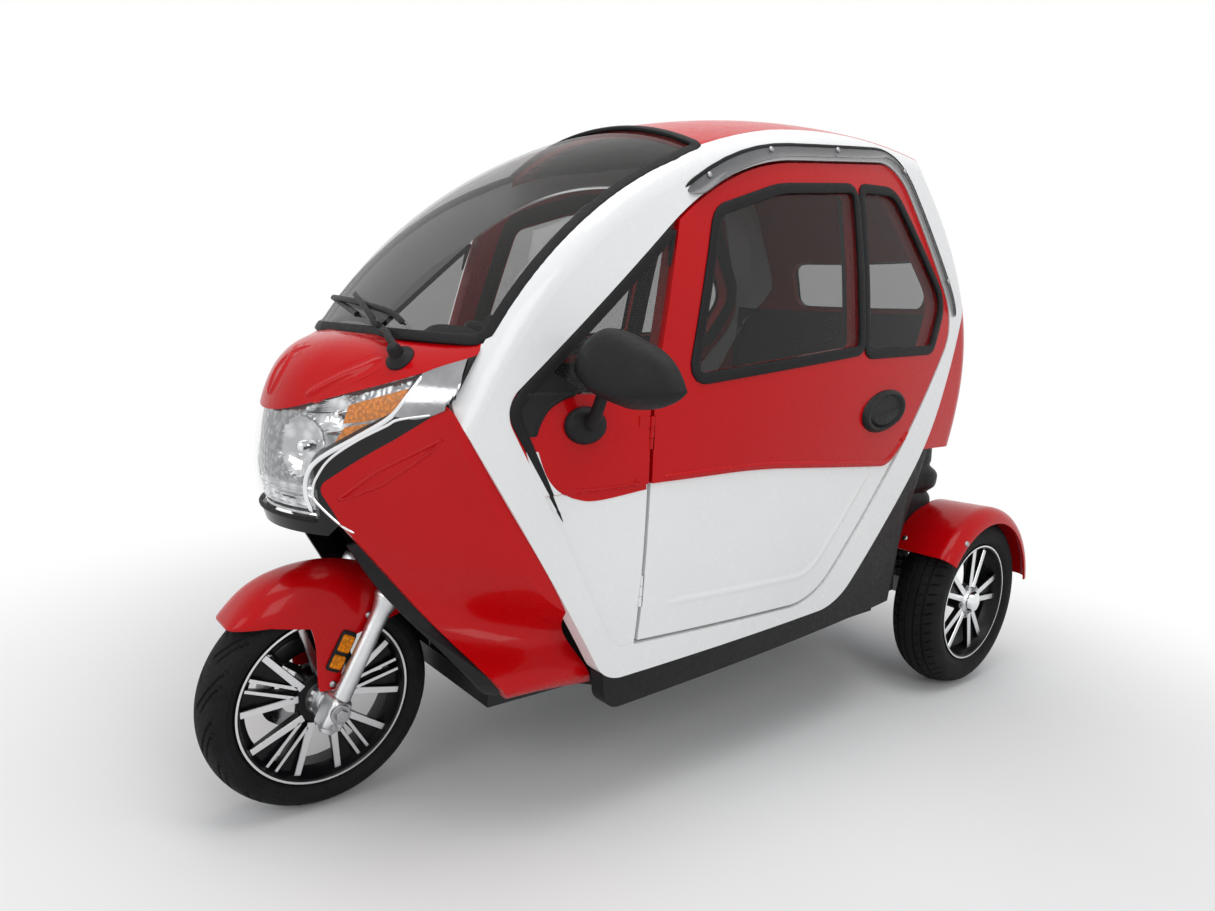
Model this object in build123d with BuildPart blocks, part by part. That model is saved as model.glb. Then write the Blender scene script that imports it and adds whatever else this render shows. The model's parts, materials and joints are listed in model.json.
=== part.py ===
from build123d import *
import os
from math import cos, radians, sin

# Enclosed electric tricycle: one steered front wheel, two driven rear wheels and a
# closed two-seat cabin. Millimetres, +Z up, nose towards -Y, left side towards +X.
# A station is a distance behind the front axle.

# Stance
WHEELBASE = 1720.0
FRONT_TYRE_R = 219.0
FRONT_TYRE_W = 110.0
REAR_TYRE_R = 247.0
REAR_TYRE_W = 135.0
REAR_TRACK = 780.0
RIM_R = 165.0
REAR_FENDER_R = 276.0
FENDER_FROM = 10.0
LENGTH = FRONT_TYRE_R + WHEELBASE + REAR_FENDER_R * cos(radians(FENDER_FROM))
FRONT_AXLE_Y = FRONT_TYRE_R - LENGTH / 2
REAR_AXLE_Y = FRONT_AXLE_Y + WHEELBASE
REAR = WHEELBASE

# Steering
RAKE = 26.0
FORK_OFFSET = 35.0
FORK_HALF = 93.0
LEG_R = 21.0
TUBE_R = 16.0
LEG_BOTTOM = -62.0
LEG_TOP = 245.0
YOKE_LEVEL = 345.0
YOKE_THICK = 28.0
YOKE_WALL = 10.0
STEM_R = 15.0
HEAD_BOTTOM = 380.0
HEAD_TOP = 560.0
HEAD_R = 28.0
BAR_LEVEL = 800.0
BAR_R = 11.0
GRIP_R = 16.0
BAR_HALF = 290.0
RUNNING_FIT = 0.05
SEAT_FIT = 0.2
AXLE_R = 8.0
STUB_R = 14.0

# Cabin walls and glass; SIDE_REACH is longer than any half width
SIDE_REACH = 700.0
WALL = 38.0
ROOF_WALL = 18.0
TAIL_WALL = 22.0
SKIN_STEP = 4.0
GLASS_INSET = 4.0
GLASS = 5.0
NOSE_WALL = 12.0
LENS = 5.0
LINER = 8.0
ROOF_EDGE_R = 70.0
DOOR_GAP = 6.0
SEAM_GAP = 8.0
DOOR_SEAM = 455.0
BELT_HEIGHT = 838.0
COWL_HEIGHT = 915.0
WINDSHIELD_TOP = 600.0
TAIL_HEIGHT = 700.0
HINGE_X = 409.0
HINGE_HEIGHTS = (470.0, 770.0)
HINGE_LENGTH = 60.0
HINGE_R = 4.5
HINGE_PIN_R = 2.5

# Underbody
RAIL_X = 220.0
RAIL = 40.0
RAIL_HEIGHT = 242.0
RAIL_REAR_HEIGHT = 345.0
FLOOR = 12.0
FIREWALL = 345.0

# Levels of the cabin: height, half widths at the front, the middle and the rear corner,
# then how far the rear corner and the tail lie ahead of the rear axle.
BODY_FRONT = 60.0
BODY_MIDDLE = 850.0
BODY_LEVELS = (
    (225.0, 372.0, 402.0, 388.0, 190.0, 100.0),
    (650.0, 374.0, 436.0, 411.0, 190.0, 95.0),
    (1000.0, 354.0, 405.0, 388.0, 120.0, 5.0),
    (1250.0, 330.0, 358.0, 340.0, 190.0, 70.0),
    (1520.0, 285.0, 285.0, 262.0, 355.0, 275.0),
)

# Roof line on the centre plane: two tangent arcs that meet at the top of the windshield.
ROOF_JOINT = (600.0, 1375.0)
ROOF_JOINT_SLOPE = 18.0
SCREEN_R = 1000.0
ROOF_R = 2200.0
CROWN_R = 850.0
CROWN_HALF = 560.0

# Levels of the nose: height, half width and station of its side edge, slope of its V in plan.
NOSE_TIP_R = 220.0
NOSE_BACK = 470.0
NOSE_LEVELS = (
    (240.0, 400.0, 432.0, 1.0),
    (470.0, 396.0, 265.0, 1.0),
    (631.0, 385.0, 154.0, 0.85),
    (754.0, 372.0, 84.0, 0.6),
    (827.0, 365.0, 74.0, 0.5),
    (880.0, 358.0, 100.0, 0.47),
    (COWL_HEIGHT, 354.0, 130.0, 0.3),
)

# Side outlines: station, height, corner radius.
HOOP_OUTER = (
    (128.0, 1700.0, 0.0),
    (128.0, COWL_HEIGHT, 0.0),
    (66.0, 815.0, 60.0),
    (390.0, 300.0, 70.0),
    (REAR - 635.0, 338.0, 160.0),
    (REAR - 320.0, 712.0, 900.0),
    (REAR - 118.0, 1108.0, 150.0),
    (REAR - 290.0, 1432.0, 60.0),
    (REAR - 325.0, 1700.0, 0.0),
)
HOOP_INNER = (
    (152.0, 815.0, 55.0),
    (398.0, 366.0, 60.0),
    (REAR - 735.0, 362.0, 180.0),
    (REAR - 195.0, 1020.0, 130.0),
    (REAR - 420.0, 1395.0, 130.0),
    (655.0, 1290.0, 700.0),
)
SEAM_LEAN = (DOOR_SEAM + 101.0, 1330.0)
LOWER_SKIN = (
    (100.0, 795.0, 0.0),
    (205.0, 664.0, 60.0),
    (740.0, 690.0, 2000.0),
    (REAR - 508.0, 668.0, 90.0),
    (REAR - 300.0, 830.0, 0.0),
    (REAR - 300.0, 200.0, 0.0),
    (100.0, 200.0, 0.0),
)
DOOR_WINDOW = (
    (DOOR_SEAM + 101.0, 872.0, 22.0),
    (DOOR_SEAM + 173.0, 1182.0, 45.0),
    (DOOR_SEAM + 360.0, 1252.0, 350.0),
    (REAR - 634.0, 1294.0, 22.0),
    (REAR - 646.0, 944.0, 18.0),
)
REAR_PANE = (
    (REAR - 598.0, 1299.0, 15.0),
    (REAR - 458.0, 1312.0, 70.0),
    (REAR - 265.0, 1072.0, 70.0),
    (REAR - 332.0, 955.0, 30.0),
    (REAR - 617.0, 936.0, 15.0),
)
HOOD_FRONT = (-220.0, 705.0, 0.0)
HOOD_CORNER = (117.0, 898.0, 0.0)
LENS_CORNER = (92.0, 883.7, 0.0)
HOOD = (
    HOOD_FRONT,
    (-220.0, 960.0, 0.0),
    (128.0, 960.0, 0.0),
    (128.0, COWL_HEIGHT, 0.0),
    HOOD_CORNER,
    LENS_CORNER,
)
LENS_EDGE = (
    HOOD_FRONT,
    LENS_CORNER,
    (55.0, 861.0, 30.0),
    (18.0, 790.0, 80.0),
    (-66.0, 700.0, 60.0),
    (-48.0, 592.0, 0.0),
    (-220.0, 592.0, 0.0),
)
NOSE_BAND = (
    HOOD_FRONT,
    LENS_CORNER,
    HOOD_CORNER,
    (66.0, 815.0, 0.0),
    (20.0, 750.0, 0.0),
    (-58.0, 655.0, 25.0),
    (-24.0, 592.0, 0.0),
    (-35.0, 566.0, 0.0),
    (-220.0, 566.0, 0.0),
)
FAIRING = (
    (66.0, 815.0, 0.0),
    (20.0, 750.0, 0.0),
    (-58.0, 655.0, 25.0),
    (-24.0, 592.0, 0.0),
    (72.0, 470.0, 900.0),
    (222.0, 274.0, 40.0),
    (406.0, 274.0, 0.0),
)
SILL = (
    (380.0, 330.0, 0.0),
    (402.0, 236.0, 40.0),
    (REAR - 458.0, 296.0, 300.0),
    (REAR - 385.0, 302.0, 0.0),
    (REAR - 385.0, 760.0, 0.0),
)
SIDE_PANEL = (
    (REAR - 700.0, 300.0, 0.0),
    (REAR - 385.0, 302.0, 0.0),
    (REAR - 150.0, 302.0, 0.0),
    (REAR - 100.0, TAIL_HEIGHT, 0.0),
    (REAR - 400.0, TAIL_HEIGHT, 0.0),
)

# Half width of the strip between the side hoops: station, half width.
ROOF_STRIP = ((40.0, 352.0), (126.0, 350.0), (528.0, 332.0), (850.0, 288.0), (REAR, 278.0))

REAR_WINDOW = (228.0, 1060.0, 1195.0)
HANDLE = (REAR - 546.0, 801.0, 88.0, 40.0)
HINGE_PLAY = 2.0
HINGE_END_PLAY = 1.0
LEAF = 30.0
LEAF_DEPTH = 10.0
HANDLE_DEPTH = 20.0
HANDLE_PROUD = 4.0
HANDLE_TILT = 12.0
REAR_WINDOW_R = 40.0
TAIL_CUT = 250.0
TAIL = (
    (REAR - 480.0, TAIL_HEIGHT, 0.0),
    (REAR + 60.0, TAIL_HEIGHT, 0.0),
    (REAR + 60.0, 1700.0, 0.0),
    (REAR - 480.0, 1700.0, 0.0),
)
FLOOR_HEIGHT = RAIL_HEIGHT + RAIL / 2
LINER_EDGE = (
    (60.0, 600.0, 0.0),
    (-2.0, 545.0, 0.0),
    (53.0, 455.0, 900.0),
    (200.0, FLOOR_HEIGHT + FLOOR, 40.0),
    (400.0, FLOOR_HEIGHT + FLOOR, 0.0),
    (400.0, 420.0, 0.0),
)
FIREWALL_TOP = 780.0
FIREWALL_HALF = 338.0
WELL_HALF = 205.0
WELL_BACK = 282.0
FIREWALL_EDGE = (
    (WELL_BACK, FLOOR_HEIGHT + FLOOR, 0.0),
    (WELL_BACK + LINER, FLOOR_HEIGHT + FLOOR, 0.0),
    (WELL_BACK + LINER, 470.0, 40.0),
    (FIREWALL + LINER, 622.0, 40.0),
    (FIREWALL + LINER, FIREWALL_TOP, 0.0),
    (FIREWALL, FIREWALL_TOP, 0.0),
    (FIREWALL, 625.0, 40.0),
    (WELL_BACK, 473.0, 40.0),
)
WELL_SIDE = (
    (150.0, 440.0, 0.0),
    (215.0, FLOOR_HEIGHT + FLOOR, 0.0),
    (WELL_BACK + 2.0, FLOOR_HEIGHT + FLOOR, 0.0),
    (WELL_BACK + 2.0, 472.0, 0.0),
    (FIREWALL + 2.0, 620.0, 0.0),
    (FIREWALL + 2.0, 700.0, 0.0),
    (60.0, 560.0, 0.0),
)
DASH = (
    (165.0, FIREWALL_TOP, 0.0),
    (FIREWALL + LINER, FIREWALL_TOP, 0.0),
    (FIREWALL + LINER, 870.0, 40.0),
    (165.0, 900.0, 30.0),
)
DASH_HALF = 290.0
COLUMN_HALF = 55.0
COLUMN_REACH = 100.0
FLOOR_PLAN = ((200.0, WELL_BACK), (345.0, 430.0), (420.0, 430.0), (420.0, REAR - 385.0))
REAR_FLOOR_HALF = 292.0
REAR_FLOOR = RAIL_REAR_HEIGHT + RAIL / 2
TOWER_DEPTH = 46.0
DAMPER_BACK = 102.0
DAMPER_Y = REAR_AXLE_Y - DAMPER_BACK
REAR_SEAT_BACK = REAR - DAMPER_BACK - TOWER_DEPTH / 2
REAR_STEP = (
    (REAR - 385.0, FLOOR_HEIGHT, 0.0),
    (REAR - 385.0 + FLOOR, FLOOR_HEIGHT, 0.0),
    (REAR - 385.0 + FLOOR, REAR_FLOOR, 0.0),
    (REAR_SEAT_BACK, REAR_FLOOR, 0.0),
    (REAR_SEAT_BACK, REAR_FLOOR + FLOOR, 0.0),
    (REAR - 385.0, REAR_FLOOR + FLOOR, 0.0),
)
ARCH_R = 290.0
TAIL_HALF = 300.0
TAIL_BOX_FRONT = REAR - 250.0
TAIL_INNER = REAR - 10.0
TAIL_CORNER_R = 80.0
TAIL_RIBS = ((440.0, 540.0, REAR + 8.0), (540.0, 615.0, REAR + 22.0), (615.0, TAIL_HEIGHT, REAR - 2.0))
FENDER = 5.0
FENDER_SHOULDER = 440.0
FENDER_SIDE = 480.0
FENDER_LIP_R = 236.0
FENDER_DROP = 6.0
FENDER_TO = 145.0
RAIL_LINE = (
    (WELL_BACK - 44.0, RAIL_HEIGHT),
    (REAR - 310.0, RAIL_HEIGHT),
    (REAR - 190.0, RAIL_REAR_HEIGHT),
    (REAR - 20.0, RAIL_REAR_HEIGHT),
)
RAIL_BEND = 100.0
CROSS_MEMBERS = (
    (WELL_BACK - 24.0, RAIL_HEIGHT),
    (820.0, RAIL_HEIGHT),
    (1290.0, RAIL_HEIGHT),
    (REAR - 115.0, RAIL_REAR_HEIGHT),
)
DOWN_TUBE = ((WELL_BACK - 26.0, 610.0), (WELL_BACK - 24.0, RAIL_HEIGHT))
DOWN_TUBE_R = 18.0
TOWER = 8.0
TOWER_TOP = 500.0
EAR = TAIL_HALF - FLOOR - RAIL_X - RAIL / 2
DAMPER_X = RAIL_X + RAIL / 2 + EAR / 2 + TOWER / 2
DAMPER_R = 17.0
SADDLE = 46.0
AXLE_HALF = 300.0
AXLE_TUBE_R = 36.0
MOTOR_HALF = 90.0
MOTOR_R = 85.0
SEAT_STATION = 880.0
BATTERY = (380.0, 330.0, 150.0)
BATTERY_R = 20.0
SEAT_BASE = FLOOR_HEIGHT + FLOOR + BATTERY[2]
DRIVER_HALF = 220.0
DRIVER_SEAT = (
    (SEAT_STATION - 190.0, SEAT_BASE, 20.0),
    (SEAT_STATION + 165.0, SEAT_BASE, 20.0),
    (SEAT_STATION + 255.0, SEAT_BASE + 420.0, 40.0),
    (SEAT_STATION + 175.0, SEAT_BASE + 430.0, 30.0),
    (SEAT_STATION + 95.0, SEAT_BASE + 85.0, 40.0),
    (SEAT_STATION - 190.0, SEAT_BASE + 80.0, 35.0),
)
REAR_SEAT_HALF = 280.0
REAR_SEAT = (
    (REAR - 370.0, REAR_FLOOR + FLOOR, 0.0),
    (REAR_SEAT_BACK, REAR_FLOOR + FLOOR, 0.0),
    (REAR_SEAT_BACK, 560.0, 60.0),
    (REAR - 170.0, 690.0, 60.0),
    (REAR - 155.0, 860.0, 40.0),
    (REAR - 230.0, 870.0, 30.0),
    (REAR - 245.0, 560.0, 40.0),
    (REAR - 370.0, 555.0, 35.0),
)
MIRROR_FOOT_X = 370.0
MIRROR_FOOT = (309.0, 785.0)
MIRROR_FOOT_OVAL = (40.0, 32.0)
MIRROR_FOOT_LENGTH = 60.0
MIRROR_STALK = ((412.0, 308.0, 790.0), (470.0, 296.0, 868.0))
MIRROR_STALK_R = 11.0
MIRROR_HEIGHT = 890.0
# Mirror housing sections: X, station, then depth and height of the oval.
MIRROR_SECTIONS = (
    (425.0, 285.0, 46.0, 70.0),
    (470.0, 288.0, 78.0, 122.0),
    (580.0, 296.0, 70.0, 112.0),
    (640.0, 308.0, 34.0, 60.0),
)
LAMP_X = 270.0
LAMP_HEIGHT = 800.0
LAMP = (70.0, 150.0)
LAMP_CORNER_R = 28.0
CLAMP = 34.0
CLAMP_WIDTH = 102.0
CLAMP_DEPTH = 48.0
BAR_SWEEP = 90.0
BAR_BEND = 60.0
GRIP_LENGTH = 120.0
FRONT_FENDER_R = 262.0
FRONT_FENDER_EDGE = 228.0
FRONT_FENDER_HALF = FORK_HALF - LEG_R - SEAT_FIT
FRONT_FENDER_FROM = 45.0
FRONT_FENDER_TO = 132.0
FENDER_SKIRT = (
    (-172.0, 404.0, 0.0),
    (-35.0, 372.0, 20.0),
    (-24.0, 250.0, 8.0),
    (12.0, 250.0, 8.0),
    (45.0, 350.0, 20.0),
    (160.0, 385.0, 0.0),
    (110.0, 440.0, 120.0),
    (-10.0, 455.0, 200.0),
    (-140.0, 420.0, 150.0),
)
BEAD_SETBACK = 14.0
SEAT_R = 158.0
SHOULDER_DROP = 0.22
WALL_DROP = 6.0
FLANGE_LIP = 2.0
TREAD_SHARE = 0.82
FLANGE = 6.0
BARREL = 10.0
HUB_R = 34.0
SPOKES = 5
SPOKE_START = 20.0
SPOKE_SLOT = 6.0
SPOKE_SPREAD = 44.0
SPOKE_ROOT = 18.0
SPOKE_DEPTH = 14.0
SPOKE_BITE = 4.0
FRONT_FACE = 34.0
FRONT_HUB_HALF = 52.0
DISC_R = 100.0
DISC = 5.0
STUB_END = 420.0
REAR_FACE = 44.0
REAR_HUB_IN = -60.0
REAR_HUB_OUT = 50.0


def side_plane(x):
    """Plane seen from the left: its axes are station and height."""
    return Plane(origin=(x, FRONT_AXLE_Y, 0), x_dir=(0, 1, 0), z_dir=(1, 0, 0))


def level_plane(height):
    """Level plane: its axes are X and station."""
    return Plane(origin=(0, FRONT_AXLE_Y, height), x_dir=(1, 0, 0), z_dir=(0, 0, 1))


def wheel_plane(axle_y, height, x=0.0):
    """Upright plane through an axle: its axes are distance along the axle and radius."""
    return Plane(origin=(x, axle_y, height), x_dir=(1, 0, 0), z_dir=(0, -1, 0))


steer_plane = Plane(
    origin=(0, FRONT_AXLE_Y + FORK_OFFSET / cos(radians(RAKE)), FRONT_TYRE_R),
    x_dir=(1, 0, 0),
    z_dir=(0, sin(radians(RAKE)), cos(radians(RAKE))),
)
front_axle = Axis((0, FRONT_AXLE_Y, FRONT_TYRE_R), (1, 0, 0))
rear_axle_line = Axis((0, REAR_AXLE_Y, REAR_TYRE_R), (1, 0, 0))


def outline(rows):
    """Face inside a closed outline with rounded corners."""
    with BuildSketch() as face:
        with BuildLine():
            FilletPolyline(*[row[:2] for row in rows], radius=[row[2] for row in rows], close=True)
        make_face()
    return face.sketch


def side_prism(rows, cuts=(), both=False):
    """Prism across the left half or the whole width: its side view is an outline less others."""
    with BuildPart() as prism:
        with BuildSketch(side_plane(0)):
            add(outline(rows))
            for cut in cuts:
                add(outline(cut), mode=Mode.SUBTRACT)
        extrude(amount=SIDE_REACH, both=both)
    return prism.part


def half_barrel(radius, inset, turn):
    """Half of a crowned barrel under the roof line, ahead of or behind the roof joint."""
    slope = radians(ROOF_JOINT_SLOPE)
    station = ROOF_JOINT[0] + radius * sin(slope)
    height = ROOF_JOINT[1] - radius * cos(slope)
    axis_plane = Plane(
        origin=(0, FRONT_AXLE_Y + station, height),
        x_dir=(1, 0, 0),
        z_dir=(0, -cos(slope), -sin(slope)),
    )
    crown = radius - inset
    edge = crown - (CROWN_R - (CROWN_R**2 - CROWN_HALF**2) ** 0.5)
    with BuildPart() as barrel:
        with BuildSketch(axis_plane):
            with BuildLine():
                Polyline((-CROWN_HALF, edge), (-CROWN_HALF, 0), (CROWN_HALF, 0), (CROWN_HALF, edge))
                ThreePointArc((CROWN_HALF, edge), (0, crown), (-CROWN_HALF, edge))
            make_face()
        revolve(axis=Axis(axis_plane.origin, (1, 0, 0)), revolution_arc=turn)
    return barrel.part


def roof_form(inset):
    """Everything below the windshield and roof surface, moved in by the inset."""
    front = half_barrel(SCREEN_R, inset, 180)
    rear = half_barrel(ROOF_R, inset, -180)
    with BuildPart() as roof:
        add(front)
        add(rear)
    return roof.part


def cabin(inset):
    """Closed form of the cabin, with its sides, roof and tail moved in by the inset."""
    roof = roof_form(inset)
    with BuildPart() as body:
        for height, front, middle, rear, corner, tail in BODY_LEVELS:
            with BuildSketch(level_plane(height)):
                with BuildLine():
                    left = (rear - inset, REAR - corner - inset)
                    right = (-left[0], left[1])
                    nose = (front - inset, BODY_FRONT)
                    Line((-nose[0], nose[1]), nose)
                    ThreePointArc(nose, (middle - inset, BODY_MIDDLE), left)
                    ThreePointArc(left, (0, REAR - tail - inset), right)
                    ThreePointArc(right, (inset - middle, BODY_MIDDLE), (-nose[0], nose[1]))
                make_face()
        loft()
        add(roof, mode=Mode.INTERSECT)
        rim = body.edges().filter_by(lambda e: e.bounding_box().max.Z > 1200 and e.length > 600)
        rim = rim.filter_by(lambda e: abs(e.center().X) > 100)
        fillet(rim, ROOF_EDGE_R - inset)
    return body.part


def nose_form(inset):
    """Closed form of the nose and its side fairings, with its walls moved in by the inset."""
    with BuildPart() as nose:
        for height, half, station, slope in NOSE_LEVELS:
            side = half - inset
            tip = station - half * slope + inset * (1 + slope**2) ** 0.5
            points = (
                (side, tip + side * slope),
                (0, tip),
                (-side, tip + side * slope),
                (-side, NOSE_BACK),
                (side, NOSE_BACK),
            )
            with BuildSketch(level_plane(height)):
                with BuildLine():
                    FilletPolyline(*points, radius=(0, NOSE_TIP_R - inset, 0, 0, 0), close=True)
                make_face()
        loft()
    return nose.part


def layer(outer, inner):
    """What lies between two closed forms."""
    with BuildPart() as shell:
        add(outer)
        add(inner, mode=Mode.SUBTRACT)
    return shell.part


def roof_strip():
    """Upright prism over the windshield and roof, between the side hoops."""
    left = [(half, station) for station, half in ROOF_STRIP]
    right = [(-half, station) for half, station in reversed(left)]
    with BuildPart() as strip:
        with BuildSketch(level_plane(COWL_HEIGHT)):
            Polygon(*left, *right, align=None)
        extrude(amount=800)
    return strip.part


def door_hinge(height, thirds, way):
    """Knuckles of a door hinge on some thirds of its length, with leaves ahead of or behind the seam."""
    knuckle = HINGE_LENGTH / 3
    with BuildPart() as hinge:
        for start in thirds:
            spot = Plane((HINGE_X, FRONT_AXLE_Y + DOOR_SEAM, height - HINGE_LENGTH / 2 + start * knuckle))
            with BuildSketch(spot):
                Circle(HINGE_R)
                with Locations((-LEAF_DEPTH / 2, way * LEAF / 2)):
                    Rectangle(LEAF_DEPTH, LEAF)
            extrude(amount=knuckle - HINGE_END_PLAY)
    return hinge.part


def hinge_room(height, radius):
    """Upright round bar on a door's hinge line."""
    with BuildPart() as room:
        foot = Plane((HINGE_X, FRONT_AXLE_Y + DOOR_SEAM, height - HINGE_LENGTH / 2 - HINGE_END_PLAY))
        with BuildSketch(foot):
            Circle(radius)
        extrude(amount=HINGE_LENGTH + 2 * HINGE_END_PLAY)
    return room.part


def write(piece, name):
    """Label a finished piece and save it under its name."""
    piece.label = name
    export_step(piece, f"parts/{name}.step")


os.makedirs("parts", exist_ok=True)

body_skin = cabin(0)
body_step = cabin(SKIN_STEP)
body_glass = cabin(GLASS_INSET)
body_glass_back = cabin(GLASS_INSET + GLASS)
body_roof_back = cabin(ROOF_WALL)
body_tail_back = cabin(TAIL_WALL)
body_inner = cabin(WALL)
body_liner = cabin(WALL + FLOOR)
body_wall = layer(body_skin, body_inner)
step_wall = layer(body_step, body_inner)
glass_wall = layer(body_glass, body_glass_back)
nose_skin = nose_form(0)
nose_lens_back = nose_form(LENS)
nose_back = nose_form(NOSE_WALL)
nose_liner = nose_form(NOSE_WALL + LINER)
nose_housing = nose_form(NOSE_WALL + 4 * LINER)
strip = roof_strip()

# Regions of the side view that the front seam of the door divides.
ahead_of_seam = (
    (0.0, 200.0, 0.0),
    (DOOR_SEAM - SEAM_GAP / 2, 200.0, 0.0),
    (DOOR_SEAM - SEAM_GAP / 2, BELT_HEIGHT, 300.0),
    (SEAM_LEAN[0] - SEAM_GAP / 2, SEAM_LEAN[1], 0.0),
    (0.0, SEAM_LEAN[1], 0.0),
)
up_to_door = (
    (0.0, 200.0, 0.0),
    (DOOR_SEAM + SEAM_GAP / 2, 200.0, 0.0),
    (DOOR_SEAM + SEAM_GAP / 2, BELT_HEIGHT, 300.0),
    (SEAM_LEAN[0] + SEAM_GAP / 2, SEAM_LEAN[1], 0.0),
    (0.0, SEAM_LEAN[1], 0.0),
)
above_belt = ((0.0, BELT_HEIGHT, 0.0), (800.0, BELT_HEIGHT, 0.0), (800.0, 1500.0, 0.0), (0.0, 1500.0, 0.0))

lower_prism = side_prism(LOWER_SKIN)
with BuildPart() as door_block:
    with BuildSketch(side_plane(0)):
        add(outline(HOOP_INNER))
        offset(amount=-DOOR_GAP)
        add(outline(up_to_door), mode=Mode.SUBTRACT)
    extrude(amount=SIDE_REACH)
with BuildPart() as quarter_block:
    with BuildSketch(side_plane(0)):
        add(outline(HOOP_INNER))
        add(outline(ahead_of_seam), mode=Mode.INTERSECT)
    extrude(amount=SIDE_REACH)
with BuildPart() as belt_block:
    with BuildSketch(side_plane(0)):
        add(outline(above_belt))
    extrude(amount=SIDE_REACH)
with BuildPart() as window_block:
    with BuildSketch(side_plane(0)):
        add(outline(DOOR_WINDOW))
        add(outline(REAR_PANE))
    extrude(amount=SIDE_REACH)
with BuildPart() as handle_block:
    with BuildSketch(side_plane(0)):
        with Locations(HANDLE[:2]):
            Ellipse(HANDLE[2], HANDLE[3], rotation=HANDLE_TILT)
    extrude(amount=SIDE_REACH)
handle_back = cabin(HANDLE_DEPTH)
handle_front = cabin(-HANDLE_PROUD)
with BuildPart() as handle_form:
    add(handle_block.part)
    add(layer(handle_front, handle_back), mode=Mode.INTERSECT)

for side in ("left", "right"):
    # White hoop round the doorway
    hoop_prism = side_prism(HOOP_OUTER, (HOOP_INNER,))
    with BuildPart() as hoop:
        add(hoop_prism)
        add(body_wall, mode=Mode.INTERSECT)
        add(strip, mode=Mode.SUBTRACT)
        if side == "right":
            mirror(about=Plane.YZ, mode=Mode.REPLACE)
    write(hoop.part, f"side_frame_{side}")

    # Door: red upper panel with both windows cut, white lower skin, glass and handle
    hinges = [door_hinge(height, (1,), 1) for height in HINGE_HEIGHTS]
    rooms = [hinge_room(height, HINGE_R + HINGE_PLAY) for height in HINGE_HEIGHTS]
    bores = [hinge_room(height, HINGE_PIN_R + RUNNING_FIT) for height in HINGE_HEIGHTS]
    with BuildPart() as door_panel:
        add(door_block.part)
        add(body_wall, mode=Mode.INTERSECT)
        add(lower_prism, mode=Mode.SUBTRACT)
        add(window_block.part, mode=Mode.SUBTRACT)
        add(handle_form.part, mode=Mode.SUBTRACT)
        add(rooms[1], mode=Mode.SUBTRACT)
        add(hinges[1])
        add(bores[1], mode=Mode.SUBTRACT)
        if side == "right":
            mirror(about=Plane.YZ, mode=Mode.REPLACE)
    write(door_panel.part, f"door_panel_{side}")

    with BuildPart() as door_skin:
        add(door_block.part)
        add(step_wall, mode=Mode.INTERSECT)
        add(lower_prism, mode=Mode.INTERSECT)
        add(rooms[0], mode=Mode.SUBTRACT)
        add(hinges[0])
        add(bores[0], mode=Mode.SUBTRACT)
        if side == "right":
            mirror(about=Plane.YZ, mode=Mode.REPLACE)
    write(door_skin.part, f"door_skin_{side}")

    with BuildPart() as door_glass:
        add(window_block.part)
        add(glass_wall, mode=Mode.INTERSECT)
        if side == "right":
            mirror(about=Plane.YZ, mode=Mode.REPLACE)
    write(door_glass.part, f"door_glass_{side}")

    with BuildPart() as door_handle:
        add(handle_form.part)
        if side == "right":
            mirror(about=Plane.YZ, mode=Mode.REPLACE)
    write(door_handle.part, f"door_handle_{side}")

# Fixed quarters ahead of the doors, with the fixed knuckles and pins of the door hinges
fixed = [door_hinge(height, (0, 2), -1) for height in HINGE_HEIGHTS]
rooms = [hinge_room(height, HINGE_R + HINGE_PLAY) for height in HINGE_HEIGHTS]
pins = [hinge_room(height, HINGE_PIN_R) for height in HINGE_HEIGHTS]
with BuildPart() as quarter_panels:
    add(quarter_block.part)
    add(body_wall, mode=Mode.INTERSECT)
    add(belt_block.part, mode=Mode.SUBTRACT)
    add(lower_prism, mode=Mode.SUBTRACT)
    add(rooms[1], mode=Mode.SUBTRACT)
    add(fixed[1])
    add(pins[1])
    mirror(about=Plane.YZ)
write(quarter_panels.part, "quarter_panels")

with BuildPart() as quarter_skins:
    add(quarter_block.part)
    add(step_wall, mode=Mode.INTERSECT)
    add(lower_prism, mode=Mode.INTERSECT)
    add(rooms[0], mode=Mode.SUBTRACT)
    add(fixed[0])
    add(pins[0])
    mirror(about=Plane.YZ)
write(quarter_skins.part, "quarter_skins")

with BuildPart() as quarter_glass:
    add(quarter_block.part)
    add(belt_block.part, mode=Mode.INTERSECT)
    add(glass_wall, mode=Mode.INTERSECT)
    mirror(about=Plane.YZ)
write(quarter_glass.part, "quarter_glass")

# Windshield, roof and tail between the hoops
with BuildPart() as windshield:
    add(glass_wall)
    add(strip, mode=Mode.INTERSECT)
    split(bisect_by=Plane.XZ.offset(-FRONT_AXLE_Y - WINDSHIELD_TOP), keep=Keep.TOP)
write(windshield.part, "windshield")

hoop_both = side_prism(HOOP_OUTER, both=True)
with BuildPart() as roof_panel:
    add(layer(body_skin, body_roof_back))
    add(strip, mode=Mode.INTERSECT)
    add(hoop_both, mode=Mode.INTERSECT)
    split(bisect_by=Plane.XZ.offset(-FRONT_AXLE_Y - WINDSHIELD_TOP), keep=Keep.BOTTOM)
write(roof_panel.part, "roof_panel")

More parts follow.
